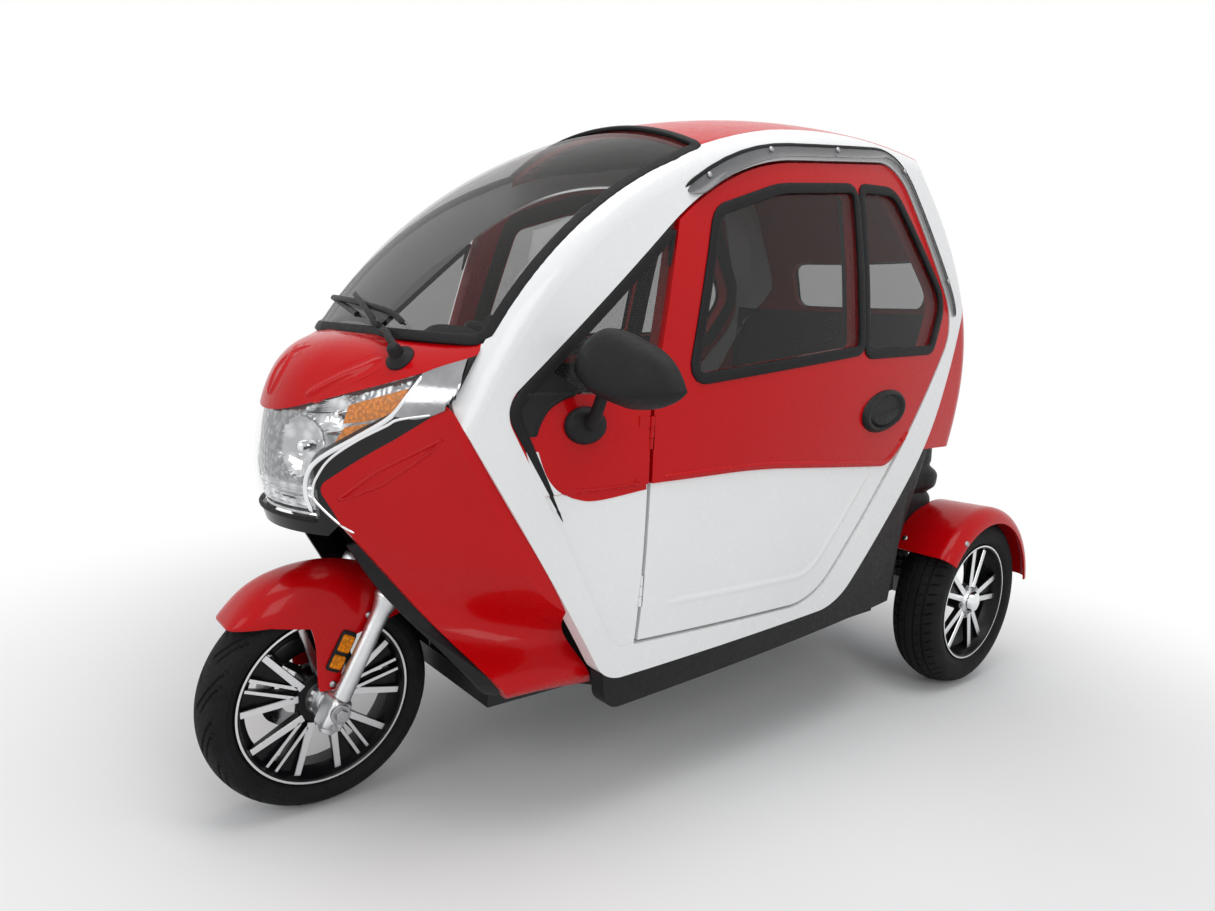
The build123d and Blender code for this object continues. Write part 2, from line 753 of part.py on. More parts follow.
tail_prism = side_prism(TAIL, (HOOP_OUTER,), both=True)
window_half, window_low, window_high = REAR_WINDOW
tail_plane = Plane.XZ.offset(TAIL_CUT - REAR_AXLE_Y)
with BuildPart() as rear_opening:
    with BuildSketch(tail_plane):
        with Locations((0, (window_low + window_high) / 2)):
            RectangleRounded(2 * window_half, window_high - window_low, REAR_WINDOW_R)
    extrude(amount=-SIDE_REACH)
with BuildPart() as lamp_block:
    for x in (-LAMP_X, LAMP_X):
        with BuildSketch(tail_plane):
            with Locations((x, LAMP_HEIGHT)):
                RectangleRounded(*LAMP, LAMP_CORNER_R)
        extrude(amount=-SIDE_REACH)
with BuildPart() as tail_body:
    add(tail_prism)
    add(layer(body_skin, body_tail_back), mode=Mode.INTERSECT)
    add(rear_opening.part, mode=Mode.SUBTRACT)
    add(lamp_block.part, mode=Mode.SUBTRACT)
write(tail_body.part, "tail_body")

with BuildPart() as rear_window:
    add(rear_opening.part)
    add(glass_wall, mode=Mode.INTERSECT)
write(rear_window.part, "rear_window")

with BuildPart() as tail_lamps:
    add(lamp_block.part)
    add(layer(body_skin, body_glass_back), mode=Mode.INTERSECT)
write(tail_lamps.part, "tail_lamps")

# Nose: hood, clear lamp lens over its housing, dark band and red side fairings
hood_prism = side_prism(HOOD, both=True)
lens_prism = side_prism(LENS_EDGE, both=True)
band_prism = side_prism(NOSE_BAND, (LENS_EDGE,), both=True)
fairing_prism = side_prism(FAIRING, both=True)
liner_prism = side_prism(LINER_EDGE, (HOOP_OUTER, SILL), both=True)
for name, prism, outer, inner in (
    ("hood", hood_prism, nose_skin, nose_back),
    ("headlamp_lens", lens_prism, nose_skin, nose_lens_back),
    ("headlamp_housing", lens_prism, nose_lens_back, nose_housing),
    ("nose_band", band_prism, nose_skin, nose_back),
    ("front_fairing", fairing_prism, nose_skin, nose_back),
    ("front_liner", liner_prism, nose_back, nose_liner),
):
    with BuildPart() as panel:
        add(prism)
        add(outer, mode=Mode.INTERSECT)
        add(inner, mode=Mode.SUBTRACT)
    write(panel.part, name)

# Wheel well behind the front wheel: firewall on the floor, and side walls up to the liner
with BuildPart() as wheel_well:
    with BuildSketch(side_plane(0)):
        add(outline(FIREWALL_EDGE))
    extrude(amount=FIREWALL_HALF, both=True)
    with BuildSketch(side_plane(WELL_HALF)):
        add(outline(WELL_SIDE))
    extrude(amount=LINER)
    with BuildSketch(side_plane(-WELL_HALF)):
        add(outline(WELL_SIDE))
    extrude(amount=-LINER)
    add(nose_liner, mode=Mode.INTERSECT)
write(wheel_well.part, "wheel_well")

with BuildPart() as dashboard:
    with BuildSketch(side_plane(0)):
        add(outline(DASH))
    extrude(amount=DASH_HALF, both=True)
    with BuildSketch(level_plane(FIREWALL_TOP)):
        with Locations((0, FIREWALL + LINER)):
            Rectangle(2 * COLUMN_HALF, 2 * COLUMN_REACH)
    extrude(amount=SIDE_REACH, mode=Mode.SUBTRACT)
write(dashboard.part, "dashboard")

# Floor, sills and the step up over the rear axle
sill_prism = side_prism(SILL, (HOOP_OUTER,), both=True)
with BuildPart() as sills:
    add(sill_prism)
    add(body_wall, mode=Mode.INTERSECT)
with BuildPart() as floor_tub:
    with BuildSketch(level_plane(FLOOR_HEIGHT)):
        Polygon(*FLOOR_PLAN, *[(-x, station) for x, station in reversed(FLOOR_PLAN)], align=None)
    extrude(amount=FLOOR)
    add(body_inner, mode=Mode.INTERSECT)
    with BuildSketch(side_plane(0)):
        add(outline(REAR_STEP))
    extrude(amount=REAR_FLOOR_HALF, both=True)
    add(sills.part)
write(floor_tub.part, "floor_tub")

# Dark rear body between the wheels, with raised ribs round its tail
panel_prism = side_prism(SIDE_PANEL, both=True)
with BuildPart() as wheel_arch:
    with BuildSketch(side_plane(0)):
        with Locations((REAR, REAR_TYRE_R)):
            Circle(ARCH_R)
    extrude(amount=SIDE_REACH, both=True)
with BuildPart() as side_panels:
    add(panel_prism)
    add(layer(body_inner, body_liner), mode=Mode.INTERSECT)
    add(wheel_arch.part, mode=Mode.SUBTRACT)
    with Locations((0, REAR_AXLE_Y, TAIL_HEIGHT)):
        Box(2 * TAIL_HALF, 2 * WHEELBASE, 2 * TAIL_HEIGHT, mode=Mode.SUBTRACT)
with BuildPart() as rear_bumper:
    for low, high, reach in TAIL_RIBS:
        with BuildSketch(level_plane(low)):
            with Locations((0, (TAIL_BOX_FRONT + reach) / 2)):
                Rectangle(2 * TAIL_HALF, reach - TAIL_BOX_FRONT)
            fillet(vertices().group_by(Axis.Y)[-1], TAIL_CORNER_R)
        extrude(amount=high - low)
    with BuildSketch(level_plane(TAIL_RIBS[0][0])):
        with Locations((0, TAIL_BOX_FRONT + (TAIL_INNER - TAIL_BOX_FRONT) / 2)):
            Rectangle(2 * (TAIL_HALF - FLOOR), TAIL_INNER - TAIL_BOX_FRONT)
        fillet(vertices().group_by(Axis.Y)[-1], TAIL_CORNER_R - FLOOR)
    extrude(amount=SIDE_REACH, mode=Mode.SUBTRACT)
write(rear_bumper.part, "rear_bumper")
write(side_panels.part, "side_panels")

# Rear fenders: a rounded section turned part of the way round the axle
with BuildPart() as rear_fenders:
    start = Plane(
        origin=(0, REAR_AXLE_Y, REAR_TYRE_R),
        x_dir=(1, 0, 0),
        z_dir=(0, -sin(radians(FENDER_FROM)), cos(radians(FENDER_FROM))),
    )
    with BuildSketch(start):
        with BuildLine():
            Line((TAIL_HALF, REAR_FENDER_R - FENDER_DROP), (FENDER_SHOULDER, REAR_FENDER_R))
            TangentArc((FENDER_SHOULDER, REAR_FENDER_R), (FENDER_SIDE, FENDER_LIP_R), tangent=(1, 0))
            Line((FENDER_SIDE, FENDER_LIP_R), (FENDER_SIDE - FENDER, FENDER_LIP_R))
            TangentArc(
                (FENDER_SHOULDER, REAR_FENDER_R - FENDER),
                (FENDER_SIDE - FENDER, FENDER_LIP_R),
                tangent=(1, 0),
            )
            Polyline(
                (FENDER_SHOULDER, REAR_FENDER_R - FENDER),
                (TAIL_HALF, REAR_FENDER_R - FENDER_DROP - FENDER),
                (TAIL_HALF, REAR_FENDER_R - FENDER_DROP),
            )
        make_face()
    revolve(axis=rear_axle_line, revolution_arc=FENDER_TO - FENDER_FROM)
    mirror(about=Plane.YZ)
write(rear_fenders.part, "rear_fenders")

# Chassis: two rails that rise over the axle, cross members, head tube and damper towers
with BuildPart() as chassis:
    for x in (-RAIL_X, RAIL_X):
        with BuildLine(side_plane(x)) as rail_line:
            FilletPolyline(*RAIL_LINE, radius=RAIL_BEND)
        with BuildSketch(Plane(rail_line.line @ 0, x_dir=(1, 0, 0), z_dir=(0, 1, 0))):
            Rectangle(RAIL, RAIL)
        sweep(path=rail_line.line)
        tower_x = x + (RAIL + TOWER) / 2 * (1 if x > 0 else -1)
        ear_x = x + (RAIL / 2 + EAR / 2) * (1 if x > 0 else -1)
        with Locations((tower_x, DAMPER_Y, (RAIL_REAR_HEIGHT + TOWER_TOP) / 2)):
            Box(TOWER, TOWER_DEPTH, TOWER_TOP - RAIL_REAR_HEIGHT)
        with Locations((ear_x, DAMPER_Y, TOWER_TOP + TOWER / 2)):
            Box(EAR, TOWER_DEPTH, TOWER)
    for station, height in CROSS_MEMBERS:
        with Locations((0, FRONT_AXLE_Y + station, height)):
            Box(2 * RAIL_X, RAIL, RAIL)
    with BuildSketch(steer_plane.offset(HEAD_BOTTOM)):
        Circle(HEAD_R)
    extrude(amount=HEAD_TOP - HEAD_BOTTOM)
    with BuildLine(side_plane(0)) as down_tube:
        Line(*DOWN_TUBE)
    with BuildSketch(Plane(down_tube.line @ 0, z_dir=down_tube.line % 0)):
        Circle(DOWN_TUBE_R)
    sweep(path=down_tube.line)
    with BuildSketch(steer_plane.offset(HEAD_BOTTOM)):
        Circle(STEM_R + RUNNING_FIT)
    extrude(amount=HEAD_TOP - HEAD_BOTTOM, mode=Mode.SUBTRACT)
write(chassis.part, "chassis")

# Rear axle with its motor housing, and the dampers that stand on it
with BuildPart() as rear_axle:
    with BuildSketch(wheel_plane(REAR_AXLE_Y, REAR_TYRE_R)):
        with BuildLine():
            Polyline(
                (-STUB_END, 0), (-STUB_END, STUB_R), (-AXLE_HALF, STUB_R), (-AXLE_HALF, AXLE_TUBE_R),
                (-MOTOR_HALF, AXLE_TUBE_R), (-MOTOR_HALF, MOTOR_R), (MOTOR_HALF, MOTOR_R),
                (MOTOR_HALF, AXLE_TUBE_R), (AXLE_HALF, AXLE_TUBE_R), (AXLE_HALF, STUB_R),
                (STUB_END, STUB_R), (STUB_END, 0), close=True,
            )
        make_face()
    revolve(axis=rear_axle_line)
    for x in (-DAMPER_X, DAMPER_X):
        with Locations((x, (REAR_AXLE_Y + DAMPER_Y) / 2, REAR_TYRE_R + SADDLE / 2)):
            Box(2 * DAMPER_R, DAMPER_BACK + 2 * DAMPER_R, SADDLE)
write(rear_axle.part, "rear_axle")

with BuildPart() as dampers:
    for x in (-DAMPER_X, DAMPER_X):
        with BuildSketch(Plane((x, DAMPER_Y, REAR_TYRE_R + SADDLE))):
            Circle(DAMPER_R)
        extrude(amount=TOWER_TOP - REAR_TYRE_R - SADDLE)
write(dampers.part, "dampers")

# Inside: battery box under the driver's seat, and the two seats
with BuildPart() as battery_box:
    with Locations((0, FRONT_AXLE_Y + SEAT_STATION, FLOOR_HEIGHT + FLOOR + BATTERY[2] / 2)):
        Box(*BATTERY)
    fillet(battery_box.edges().filter_by(Axis.Z), BATTERY_R)
write(battery_box.part, "battery_box")

for name, rows, half in (
    ("driver_seat", DRIVER_SEAT, DRIVER_HALF),
    ("rear_seat", REAR_SEAT, REAR_SEAT_HALF),
):
    with BuildPart() as seat:
        with BuildSketch(side_plane(0)):
            add(outline(rows))
        extrude(amount=half, both=True)
    write(seat.part, name)

# Door mirrors on their stalks, seated on the quarter skins
with BuildPart() as mirrors:
    with BuildSketch(side_plane(MIRROR_FOOT_X)):
        with Locations(MIRROR_FOOT):
            Ellipse(*MIRROR_FOOT_OVAL)
    extrude(amount=MIRROR_FOOT_LENGTH)
    add(body_skin, mode=Mode.SUBTRACT)
    with BuildLine() as stalk:
        Line(*[(x, FRONT_AXLE_Y + station, height) for x, station, height in MIRROR_STALK])
    with BuildSketch(Plane(stalk.line @ 0, z_dir=stalk.line % 0)):
        Circle(MIRROR_STALK_R)
    sweep(path=stalk.line)
    for x, station, depth, height in MIRROR_SECTIONS:
        with BuildSketch(Plane((x, FRONT_AXLE_Y + station, MIRROR_HEIGHT), x_dir=(0, 1, 0), z_dir=(1, 0, 0))):
            Ellipse(depth / 2, height / 2)
    loft()
    add(body_skin, mode=Mode.SUBTRACT)
    mirror(about=Plane.YZ)
write(mirrors.part, "mirrors")

# Steering: fork legs, tubes, yoke with its stem, handlebar, front axle and fender
with BuildPart() as fork_legs:
    for x in (-FORK_HALF, FORK_HALF):
        with BuildSketch(steer_plane.offset(LEG_BOTTOM)):
            with Locations((x, -FORK_OFFSET)):
                Circle(LEG_R)
        extrude(amount=LEG_TOP - LEG_BOTTOM)
    with BuildSketch(side_plane(0)):
        with Locations((0, FRONT_TYRE_R)):
            Circle(AXLE_R + RUNNING_FIT)
    extrude(amount=SIDE_REACH, both=True, mode=Mode.SUBTRACT)
write(fork_legs.part, "fork_legs")

with BuildPart() as fork_tubes:
    for x in (-FORK_HALF, FORK_HALF):
        with BuildSketch(steer_plane.offset(LEG_TOP)):
            with Locations((x, -FORK_OFFSET)):
                Circle(TUBE_R)
        extrude(amount=YOKE_LEVEL - LEG_TOP)
write(fork_tubes.part, "fork_tubes")

with BuildPart() as fork_yoke:
    with BuildSketch(steer_plane.offset(YOKE_LEVEL)):
        with Locations((-FORK_HALF, -FORK_OFFSET), (FORK_HALF, -FORK_OFFSET)):
            Circle(TUBE_R + YOKE_WALL)
        Circle(HEAD_R)
        make_hull()
    extrude(amount=YOKE_THICK)
    with BuildSketch(steer_plane.offset(YOKE_LEVEL)):
        Circle(STEM_R)
    extrude(amount=BAR_LEVEL - CLAMP / 2 - YOKE_LEVEL)
write(fork_yoke.part, "fork_yoke")

with BuildPart() as handlebar:
    with BuildLine(steer_plane.offset(BAR_LEVEL)) as bar_line:
        FilletPolyline(
            (-BAR_HALF, BAR_SWEEP),
            (-BAR_HALF / 2, 0),
            (BAR_HALF / 2, 0),
            (BAR_HALF, BAR_SWEEP),
            radius=BAR_BEND,
        )
    with BuildSketch(Plane(bar_line.line @ 0, z_dir=bar_line.line % 0)):
        Circle(BAR_R)
    sweep(path=bar_line.line)
    for end, way in ((bar_line.line @ 0, bar_line.line % 0), (bar_line.line @ 1, -(bar_line.line % 1))):
        with BuildSketch(Plane(end, z_dir=way)):
            Circle(GRIP_R)
        extrude(amount=GRIP_LENGTH)
    with Locations(steer_plane.offset(BAR_LEVEL).location):
        Box(CLAMP_WIDTH, CLAMP_DEPTH, CLAMP)
write(handlebar.part, "handlebar")

with BuildPart() as front_axle_pin:
    with BuildSketch(side_plane(0)):
        with Locations((0, FRONT_TYRE_R)):
            Circle(AXLE_R)
    extrude(amount=FORK_HALF + LEG_R, both=True)
write(front_axle_pin.part, "front_axle")

with BuildPart() as front_fender:
    start = Plane(
        origin=(0, FRONT_AXLE_Y, FRONT_TYRE_R),
        x_dir=(1, 0, 0),
        z_dir=(0, -sin(radians(FRONT_FENDER_FROM)), cos(radians(FRONT_FENDER_FROM))),
    )
    with BuildSketch(start):
        with BuildLine():
            ThreePointArc(
                (-FRONT_FENDER_HALF, FRONT_FENDER_EDGE),
                (0, FRONT_FENDER_R),
                (FRONT_FENDER_HALF, FRONT_FENDER_EDGE),
            )
            Line((FRONT_FENDER_HALF, FRONT_FENDER_EDGE), (FRONT_FENDER_HALF - FENDER, FRONT_FENDER_EDGE))
            ThreePointArc(
                (FRONT_FENDER_HALF - FENDER, FRONT_FENDER_EDGE),
                (0, FRONT_FENDER_R - FENDER),
                (FENDER - FRONT_FENDER_HALF, FRONT_FENDER_EDGE),
            )
            Line((FENDER - FRONT_FENDER_HALF, FRONT_FENDER_EDGE), (-FRONT_FENDER_HALF, FRONT_FENDER_EDGE))
        make_face()
    revolve(axis=front_axle, revolution_arc=FRONT_FENDER_TO - FRONT_FENDER_FROM)
    for x, way in ((FRONT_FENDER_HALF, -1), (-FRONT_FENDER_HALF, 1)):
        with BuildSketch(side_plane(x)):
            add(outline(FENDER_SKIRT))
        extrude(amount=way * FENDER)
write(front_fender.part, "front_fender")


def tyre(x, axle_y, radius, width):
    """Tyre as a turned section: flat beads, bulged walls and a crowned tread."""
    half = width / 2
    bead = half - BEAD_SETBACK
    wall = (RIM_R + radius) / 2 - WALL_DROP
    top = RIM_R + FLANGE_LIP
    edge = half * TREAD_SHARE
    shoulder = radius - (radius - RIM_R) * SHOULDER_DROP
    with BuildPart() as ring:
        with BuildSketch(wheel_plane(axle_y, radius, x)):
            with BuildLine():
                Line((-bead, SEAT_R + SEAT_FIT), (bead, SEAT_R + SEAT_FIT))
                Line((bead, SEAT_R + SEAT_FIT), (bead, top))
                ThreePointArc((bead, top), (half, wall), (edge, shoulder))
                ThreePointArc((edge, shoulder), (0, radius), (-edge, shoulder))
                ThreePointArc((-edge, shoulder), (-half, wall), (-bead, top))
                Line((-bead, top), (-bead, SEAT_R + SEAT_FIT))
            make_face()
        revolve(axis=Axis((x, axle_y, radius), (1, 0, 0)))
    return ring.part


def rim(x, axle_y, radius, width, face, bore, hub_half):
    """Alloy rim: turned barrel with two flanges, hub with its bore, and five split spokes."""
    bead = width / 2 - BEAD_SETBACK
    flange = bead + FLANGE
    root = HUB_R - SPOKE_BITE
    end = SEAT_R - BARREL + SPOKE_BITE
    axle_line = Axis((x, axle_y, radius), (1, 0, 0))
    with BuildPart() as wheel:
        with BuildSketch(wheel_plane(axle_y, radius, x)):
            with BuildLine():
                Polyline(
                    (-flange, RIM_R), (-bead - SEAT_FIT, RIM_R), (-bead - SEAT_FIT, SEAT_R),
                    (bead + SEAT_FIT, SEAT_R), (bead + SEAT_FIT, RIM_R), (flange, RIM_R),
                    (flange, SEAT_R - BARREL), (-flange, SEAT_R - BARREL), close=True,
                )
            make_face()
        revolve(axis=axle_line)
        with BuildSketch(wheel_plane(axle_y, radius, x)):
            with Locations(((hub_half[0] + hub_half[1]) / 2, (bore + HUB_R) / 2)):
                Rectangle(hub_half[1] - hub_half[0], HUB_R - bore)
        revolve(axis=axle_line)
        for spoke in range(SPOKES):
            turn = 360 / SPOKES * spoke + SPOKE_START
            along = (0, cos(radians(turn)), sin(radians(turn)))
            with BuildSketch(Plane(origin=(x + face, axle_y, radius), x_dir=along, z_dir=(1, 0, 0))):
                for way in (-1, 1):
                    with BuildLine():
                        Polyline(
                            (root, way * SPOKE_SLOT / 2), (end, way * SPOKE_SLOT),
                            (end, way * SPOKE_SPREAD), (root, way * SPOKE_ROOT), close=True,
                        )
                    make_face()
            extrude(amount=-SPOKE_DEPTH)
    return wheel.part


write(tyre(0, FRONT_AXLE_Y, FRONT_TYRE_R, FRONT_TYRE_W), "front_tyre")
front_wheel_rim = rim(
    0,
    FRONT_AXLE_Y,
    FRONT_TYRE_R,
    FRONT_TYRE_W,
    FRONT_FACE,
    AXLE_R + RUNNING_FIT,
    (-FRONT_HUB_HALF, FRONT_HUB_HALF),
)
write(front_wheel_rim, "front_rim")
with BuildPart() as brake_disc:
    with BuildSketch(side_plane(-FRONT_HUB_HALF)):
        with Locations((0, FRONT_TYRE_R)):
            Circle(DISC_R)
            Circle(HUB_R - SPOKE_BITE, mode=Mode.SUBTRACT)
    extrude(amount=-DISC)
write(brake_disc.part, "front_disc")

for side, x in (("left", REAR_TRACK / 2), ("right", -REAR_TRACK / 2)):
    out = 1 if x > 0 else -1
    write(tyre(x, REAR_AXLE_Y, REAR_TYRE_R, REAR_TYRE_W), f"rear_tyre_{side}")
    hub = (REAR_HUB_IN, REAR_HUB_OUT) if out > 0 else (-REAR_HUB_OUT, -REAR_HUB_IN)
    face = REAR_FACE if out > 0 else SPOKE_DEPTH - REAR_FACE
    rear_rim = rim(x, REAR_AXLE_Y, REAR_TYRE_R, REAR_TYRE_W, face, STUB_R + RUNNING_FIT, hub)
    write(rear_rim, f"rear_rim_{side}")
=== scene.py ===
import json

import bmesh
import bpy
import numpy as np
from mathutils import Matrix, Vector
from mathutils.bvhtree import BVHTree


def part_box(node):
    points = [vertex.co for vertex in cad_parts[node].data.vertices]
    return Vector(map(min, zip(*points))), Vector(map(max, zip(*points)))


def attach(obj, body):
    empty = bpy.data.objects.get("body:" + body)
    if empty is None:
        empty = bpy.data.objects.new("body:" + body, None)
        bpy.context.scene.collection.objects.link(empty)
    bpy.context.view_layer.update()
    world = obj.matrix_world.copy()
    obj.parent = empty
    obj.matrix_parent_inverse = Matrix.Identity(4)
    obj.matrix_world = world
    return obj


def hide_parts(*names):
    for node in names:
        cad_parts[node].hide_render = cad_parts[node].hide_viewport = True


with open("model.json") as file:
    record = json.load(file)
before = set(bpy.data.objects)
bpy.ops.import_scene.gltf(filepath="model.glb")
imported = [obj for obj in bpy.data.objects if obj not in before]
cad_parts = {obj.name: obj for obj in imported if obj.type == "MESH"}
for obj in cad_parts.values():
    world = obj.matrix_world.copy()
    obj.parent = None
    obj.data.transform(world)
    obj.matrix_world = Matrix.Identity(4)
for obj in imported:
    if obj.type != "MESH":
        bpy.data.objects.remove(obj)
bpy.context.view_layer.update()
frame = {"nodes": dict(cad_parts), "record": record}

# Enclosed electric tricycle. Metres, +Z up, nose towards -Y, left side towards +X.
# Outlines are given as in the CAD source: station behind the front axle, height, corner
# radius, all in millimetres.

NODES = frame["nodes"]
MM = 0.001
SIDES = ((1, "left"), (-1, "right"))
FRONT_HUB = np.array(sum(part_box("front_tyre"), Vector()) / 2)
REAR_HUB = np.array(sum(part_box("rear_tyre_left"), Vector()) / 2)
FRONT_HUB[0] = 0.0
RAKE = np.radians(26.0)
STEER_AXIS = np.array((0.0, np.sin(RAKE), np.cos(RAKE)))


# Shapes


def at(rows):
    """Rows of X, station and height in millimetres as points in the frame, in metres."""
    return np.asarray(rows, float) * MM + np.array((0.0, FRONT_HUB[1], 0.0))


def unit(vectors):
    """Each vector divided by its length."""
    return vectors / np.maximum(np.linalg.norm(vectors, axis=-1, keepdims=True), 1e-12)


def smooth(value, low, high):
    """Smooth step: 0 below low, 1 above high, and a cubic between."""
    t = np.clip((value - low) / (high - low), 0.0, 1.0)
    return t * t * (3.0 - 2.0 * t)


def arc3(a, b, c, count):
    """Points on the circle through three points of a plane, from the first to the last."""
    a, b, c = (np.asarray(p, float) for p in (a, b, c))
    sides = 2 * np.array((b - a, c - a))
    centre = np.linalg.solve(sides, np.array((b @ b - a @ a, c @ c - a @ a)))
    angle = np.unwrap([np.arctan2(*(p - centre)[::-1]) for p in (a, b, c)])
    turn = np.linspace(angle[0], angle[2], count)
    return centre + np.linalg.norm(a - centre) * np.stack((np.cos(turn), np.sin(turn)), -1)


def rounded(rows, count):
    """Closed outline through corners, each cut by an arc of its radius, spaced evenly."""
    rows = np.asarray(rows, float)
    runs = []
    for before, here, after in zip(np.roll(rows, 1, 0), rows, np.roll(rows, -1, 0)):
        back, ahead = unit(before[:2] - here[:2]), unit(after[:2] - here[:2])
        half = np.arccos(np.clip(back @ ahead, -1, 1)) / 2
        reach = here[2] / np.tan(half)
        ends = here[:2] + reach * back, here[:2] + reach * ahead
        t = np.linspace(0, 1, 9)[:, None]
        runs.append((1 - t) ** 2 * ends[0] + 2 * t * (1 - t) * here[:2] + t**2 * ends[1])
    return even(np.concatenate(runs), count, True)


def even(points, count, closed=False):
    """The same line with its points spread evenly along its length."""
    points = np.asarray(points, float)
    if closed:
        points = np.concatenate((points, points[:1]))
    length = np.concatenate(((0.0,), np.cumsum(np.linalg.norm(np.diff(points, axis=0), axis=1))))
    keep = np.concatenate(((True,), np.diff(length) > 1e-9))
    spots = np.linspace(0, length[-1], count, endpoint=not closed)
    return np.stack([np.interp(spots, length[keep], axis[keep]) for axis in points.T], -1)


def flowing(points, count):
    """Smooth line through a few points: a Catmull-Rom cubic between each pair, spread evenly."""
    points = np.asarray(points, float)
    ends = np.concatenate((2 * points[:1] - points[1:2], points, 2 * points[-1:] - points[-2:-1]))
    p0, p1, p2, p3 = (ends[i:len(ends) - 3 + i, None] for i in range(4))
    t = np.linspace(0, 1, 16)[None, :, None]
    cubic = 0.5 * (2 * p1 + (p2 - p0) * t + (2 * p0 - 5 * p1 + 4 * p2 - p3) * t**2
                   + (3 * p1 - p0 - 3 * p2 + p3) * t**3)
    return even(cubic.reshape(-1, points.shape[1]), count)


def oval(wide, high, count=16, power=2.0):
    """Closed superellipse: cosine and sine raised to 2 over the power, keeping their signs."""
    t = np.linspace(0, 2 * np.pi, count, endpoint=False)
    c, s = np.cos(t), np.sin(t)
    return np.stack((wide * np.sign(c) * abs(c) ** (2 / power), high * np.sign(s) * abs(s) ** (2 / power)), -1)


def carried(path, normal, profile, closed=False, size=1.0):
    """A flat profile carried along a path: its first axis across the path, its second along the normal."""
    path = np.asarray(path, float)
    if closed:
        along = unit(np.roll(path, -1, 0) - np.roll(path, 1, 0))
    else:
        along = unit(np.gradient(path, axis=0))
    normal = np.broadcast_to(np.asarray(normal, float), path.shape)
    side = unit(np.cross(along, normal))
    up = unit(np.cross(side, along))
    size = np.broadcast_to(size, len(path))[:, None, None]
    profile = np.asarray(profile, float)
    return path[:, None] + size * (profile[None, :, :1] * side[:, None] + profile[None, :, 1:] * up[:, None])


def turned(profile, centre, angles):
    """A profile of axle distance and radius turned about an axle along X, by whole arrays."""
    profile = np.asarray(profile, float)
    x, r = profile[..., 0], profile[..., 1]
    t = angles[:, None]
    return np.asarray(centre) + np.stack(np.broadcast_arrays(x, r * np.cos(t), r * np.sin(t)), -1)


def grid_mesh(name, grids, closed=(False, True), caps=True, crisp=35.0, bands=()):
    """Mesh of one or more grids of points. Rows and columns close where closed says so, open
    ends are capped by a fan, doubles are merged and faces turned outwards. bands gives, for
    each grid, the material number of each of its columns."""
    verts, faces, marks, base = [], [], [], 0
    for number, grid in enumerate(grids):
        if caps and not closed[0]:
            ends = grid[[0, -1]].mean(1, keepdims=True).repeat(grid.shape[1], 1)
            grid = np.concatenate((ends[:1], grid, ends[1:]))
        rows, cols = grid.shape[:2]
        i, j = np.meshgrid(np.arange(rows - (not closed[0])), np.arange(cols - (not closed[1])), indexing="ij")
        i2, j2 = (i + 1) % rows, (j + 1) % cols
        quads = np.stack((i * cols + j, i2 * cols + j, i2 * cols + j2, i * cols + j2), -1)
        faces.append(quads.reshape(-1, 4) + base)
        mark = np.asarray(bands[number]) if len(bands) else np.zeros(cols, int)
        marks.append((mark[i, j] if mark.ndim == 2 else mark[j]).ravel())
        verts.append(grid.reshape(-1, 3))
        base += rows * cols
    mesh = bpy.data.meshes.new(name)
    mesh.from_pydata(np.concatenate(verts).tolist(), [], np.concatenate(faces).tolist())
    mesh.polygons.foreach_set("material_index", np.concatenate(marks).astype(np.int32))
    work = bmesh.new()
    work.from_mesh(mesh)
    bmesh.ops.remove_doubles(work, verts=work.verts, dist=1e-6)
    bmesh.ops.dissolve_degenerate(work, edges=work.edges, dist=1e-7)
    bmesh.ops.recalc_face_normals(work, faces=work.faces)
    work.to_mesh(mesh)
    work.free()
    mesh.shade_smooth()
    mesh.set_sharp_from_angle(angle=np.radians(crisp))
    return mesh


def piece(name, mesh, body, slot, *finishes, replaces=()):
    """Object at the origin that rides on a body, with its finishes and the CAD nodes it stands for."""
    obj = bpy.data.objects.new(name, mesh)
    bpy.context.scene.collection.objects.link(obj)
    for finish in finishes:
        obj.data.materials.append(finish)
    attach(obj, body)
    if replaces:
        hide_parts(*replaces)
    return obj


RING = {"closed": (True, True), "caps": False}


def made(name, grids, body, slot, *finishes, replaces=(), **form):
    """Piece made of grids of points; form says how grid_mesh closes, caps, creases and bands them."""
    return piece(name, grid_mesh(name, grids, **form), body, slot, *finishes, replaces=replaces)


def skin(*names):
    """Search tree over the outer faces of some CAD nodes."""
    verts, faces, base = [], [], 0
    for name in names:
        mesh = NODES[name].data
        verts += [v.co for v in mesh.vertices]
        faces += [[base + k for k in p.vertices] for p in mesh.polygons]
        base += len(mesh.vertices)
    return BVHTree.FromPolygons(verts, faces)


def cast(tree, starts, way):
    """Where rays from the starts meet a skin, with the normals there; the nearest point where one misses."""
    way = Vector(way)
    hits = [tree.ray_cast(Vector(p), way) for p in starts]
    hits = [h if h[0] is not None else tree.find_nearest(Vector(p)) for h, p in zip(hits, starts)]
    spots = np.array([h[0] for h in hits])
    normals = np.array([h[1] if h[1].dot(way) < 0 else -h[1] for h in hits])
    return spots, normals


def on_side(tree, rows, side, out=0.9):
    """Side-view points, station and height in millimetres, on the left (1) or right (-1) skin."""
    rows = np.asarray(rows, float)
    starts = at(np.column_stack((np.full(len(rows), side * out / MM), rows)))
    return cast(tree, starts, (-side, 0, 0))


def grown(outline, amount):
    """Closed flat outline moved out along its own normals."""
    along = unit(np.roll(outline, -1, 0) - np.roll(outline, 1, 0))
    x, y = outline.T
    way = np.sign(np.sum(x * np.roll(y, -1) - np.roll(x, -1) * y))
    return outline + amount * way * np.stack((along[:, 1], -along[:, 0]), -1)


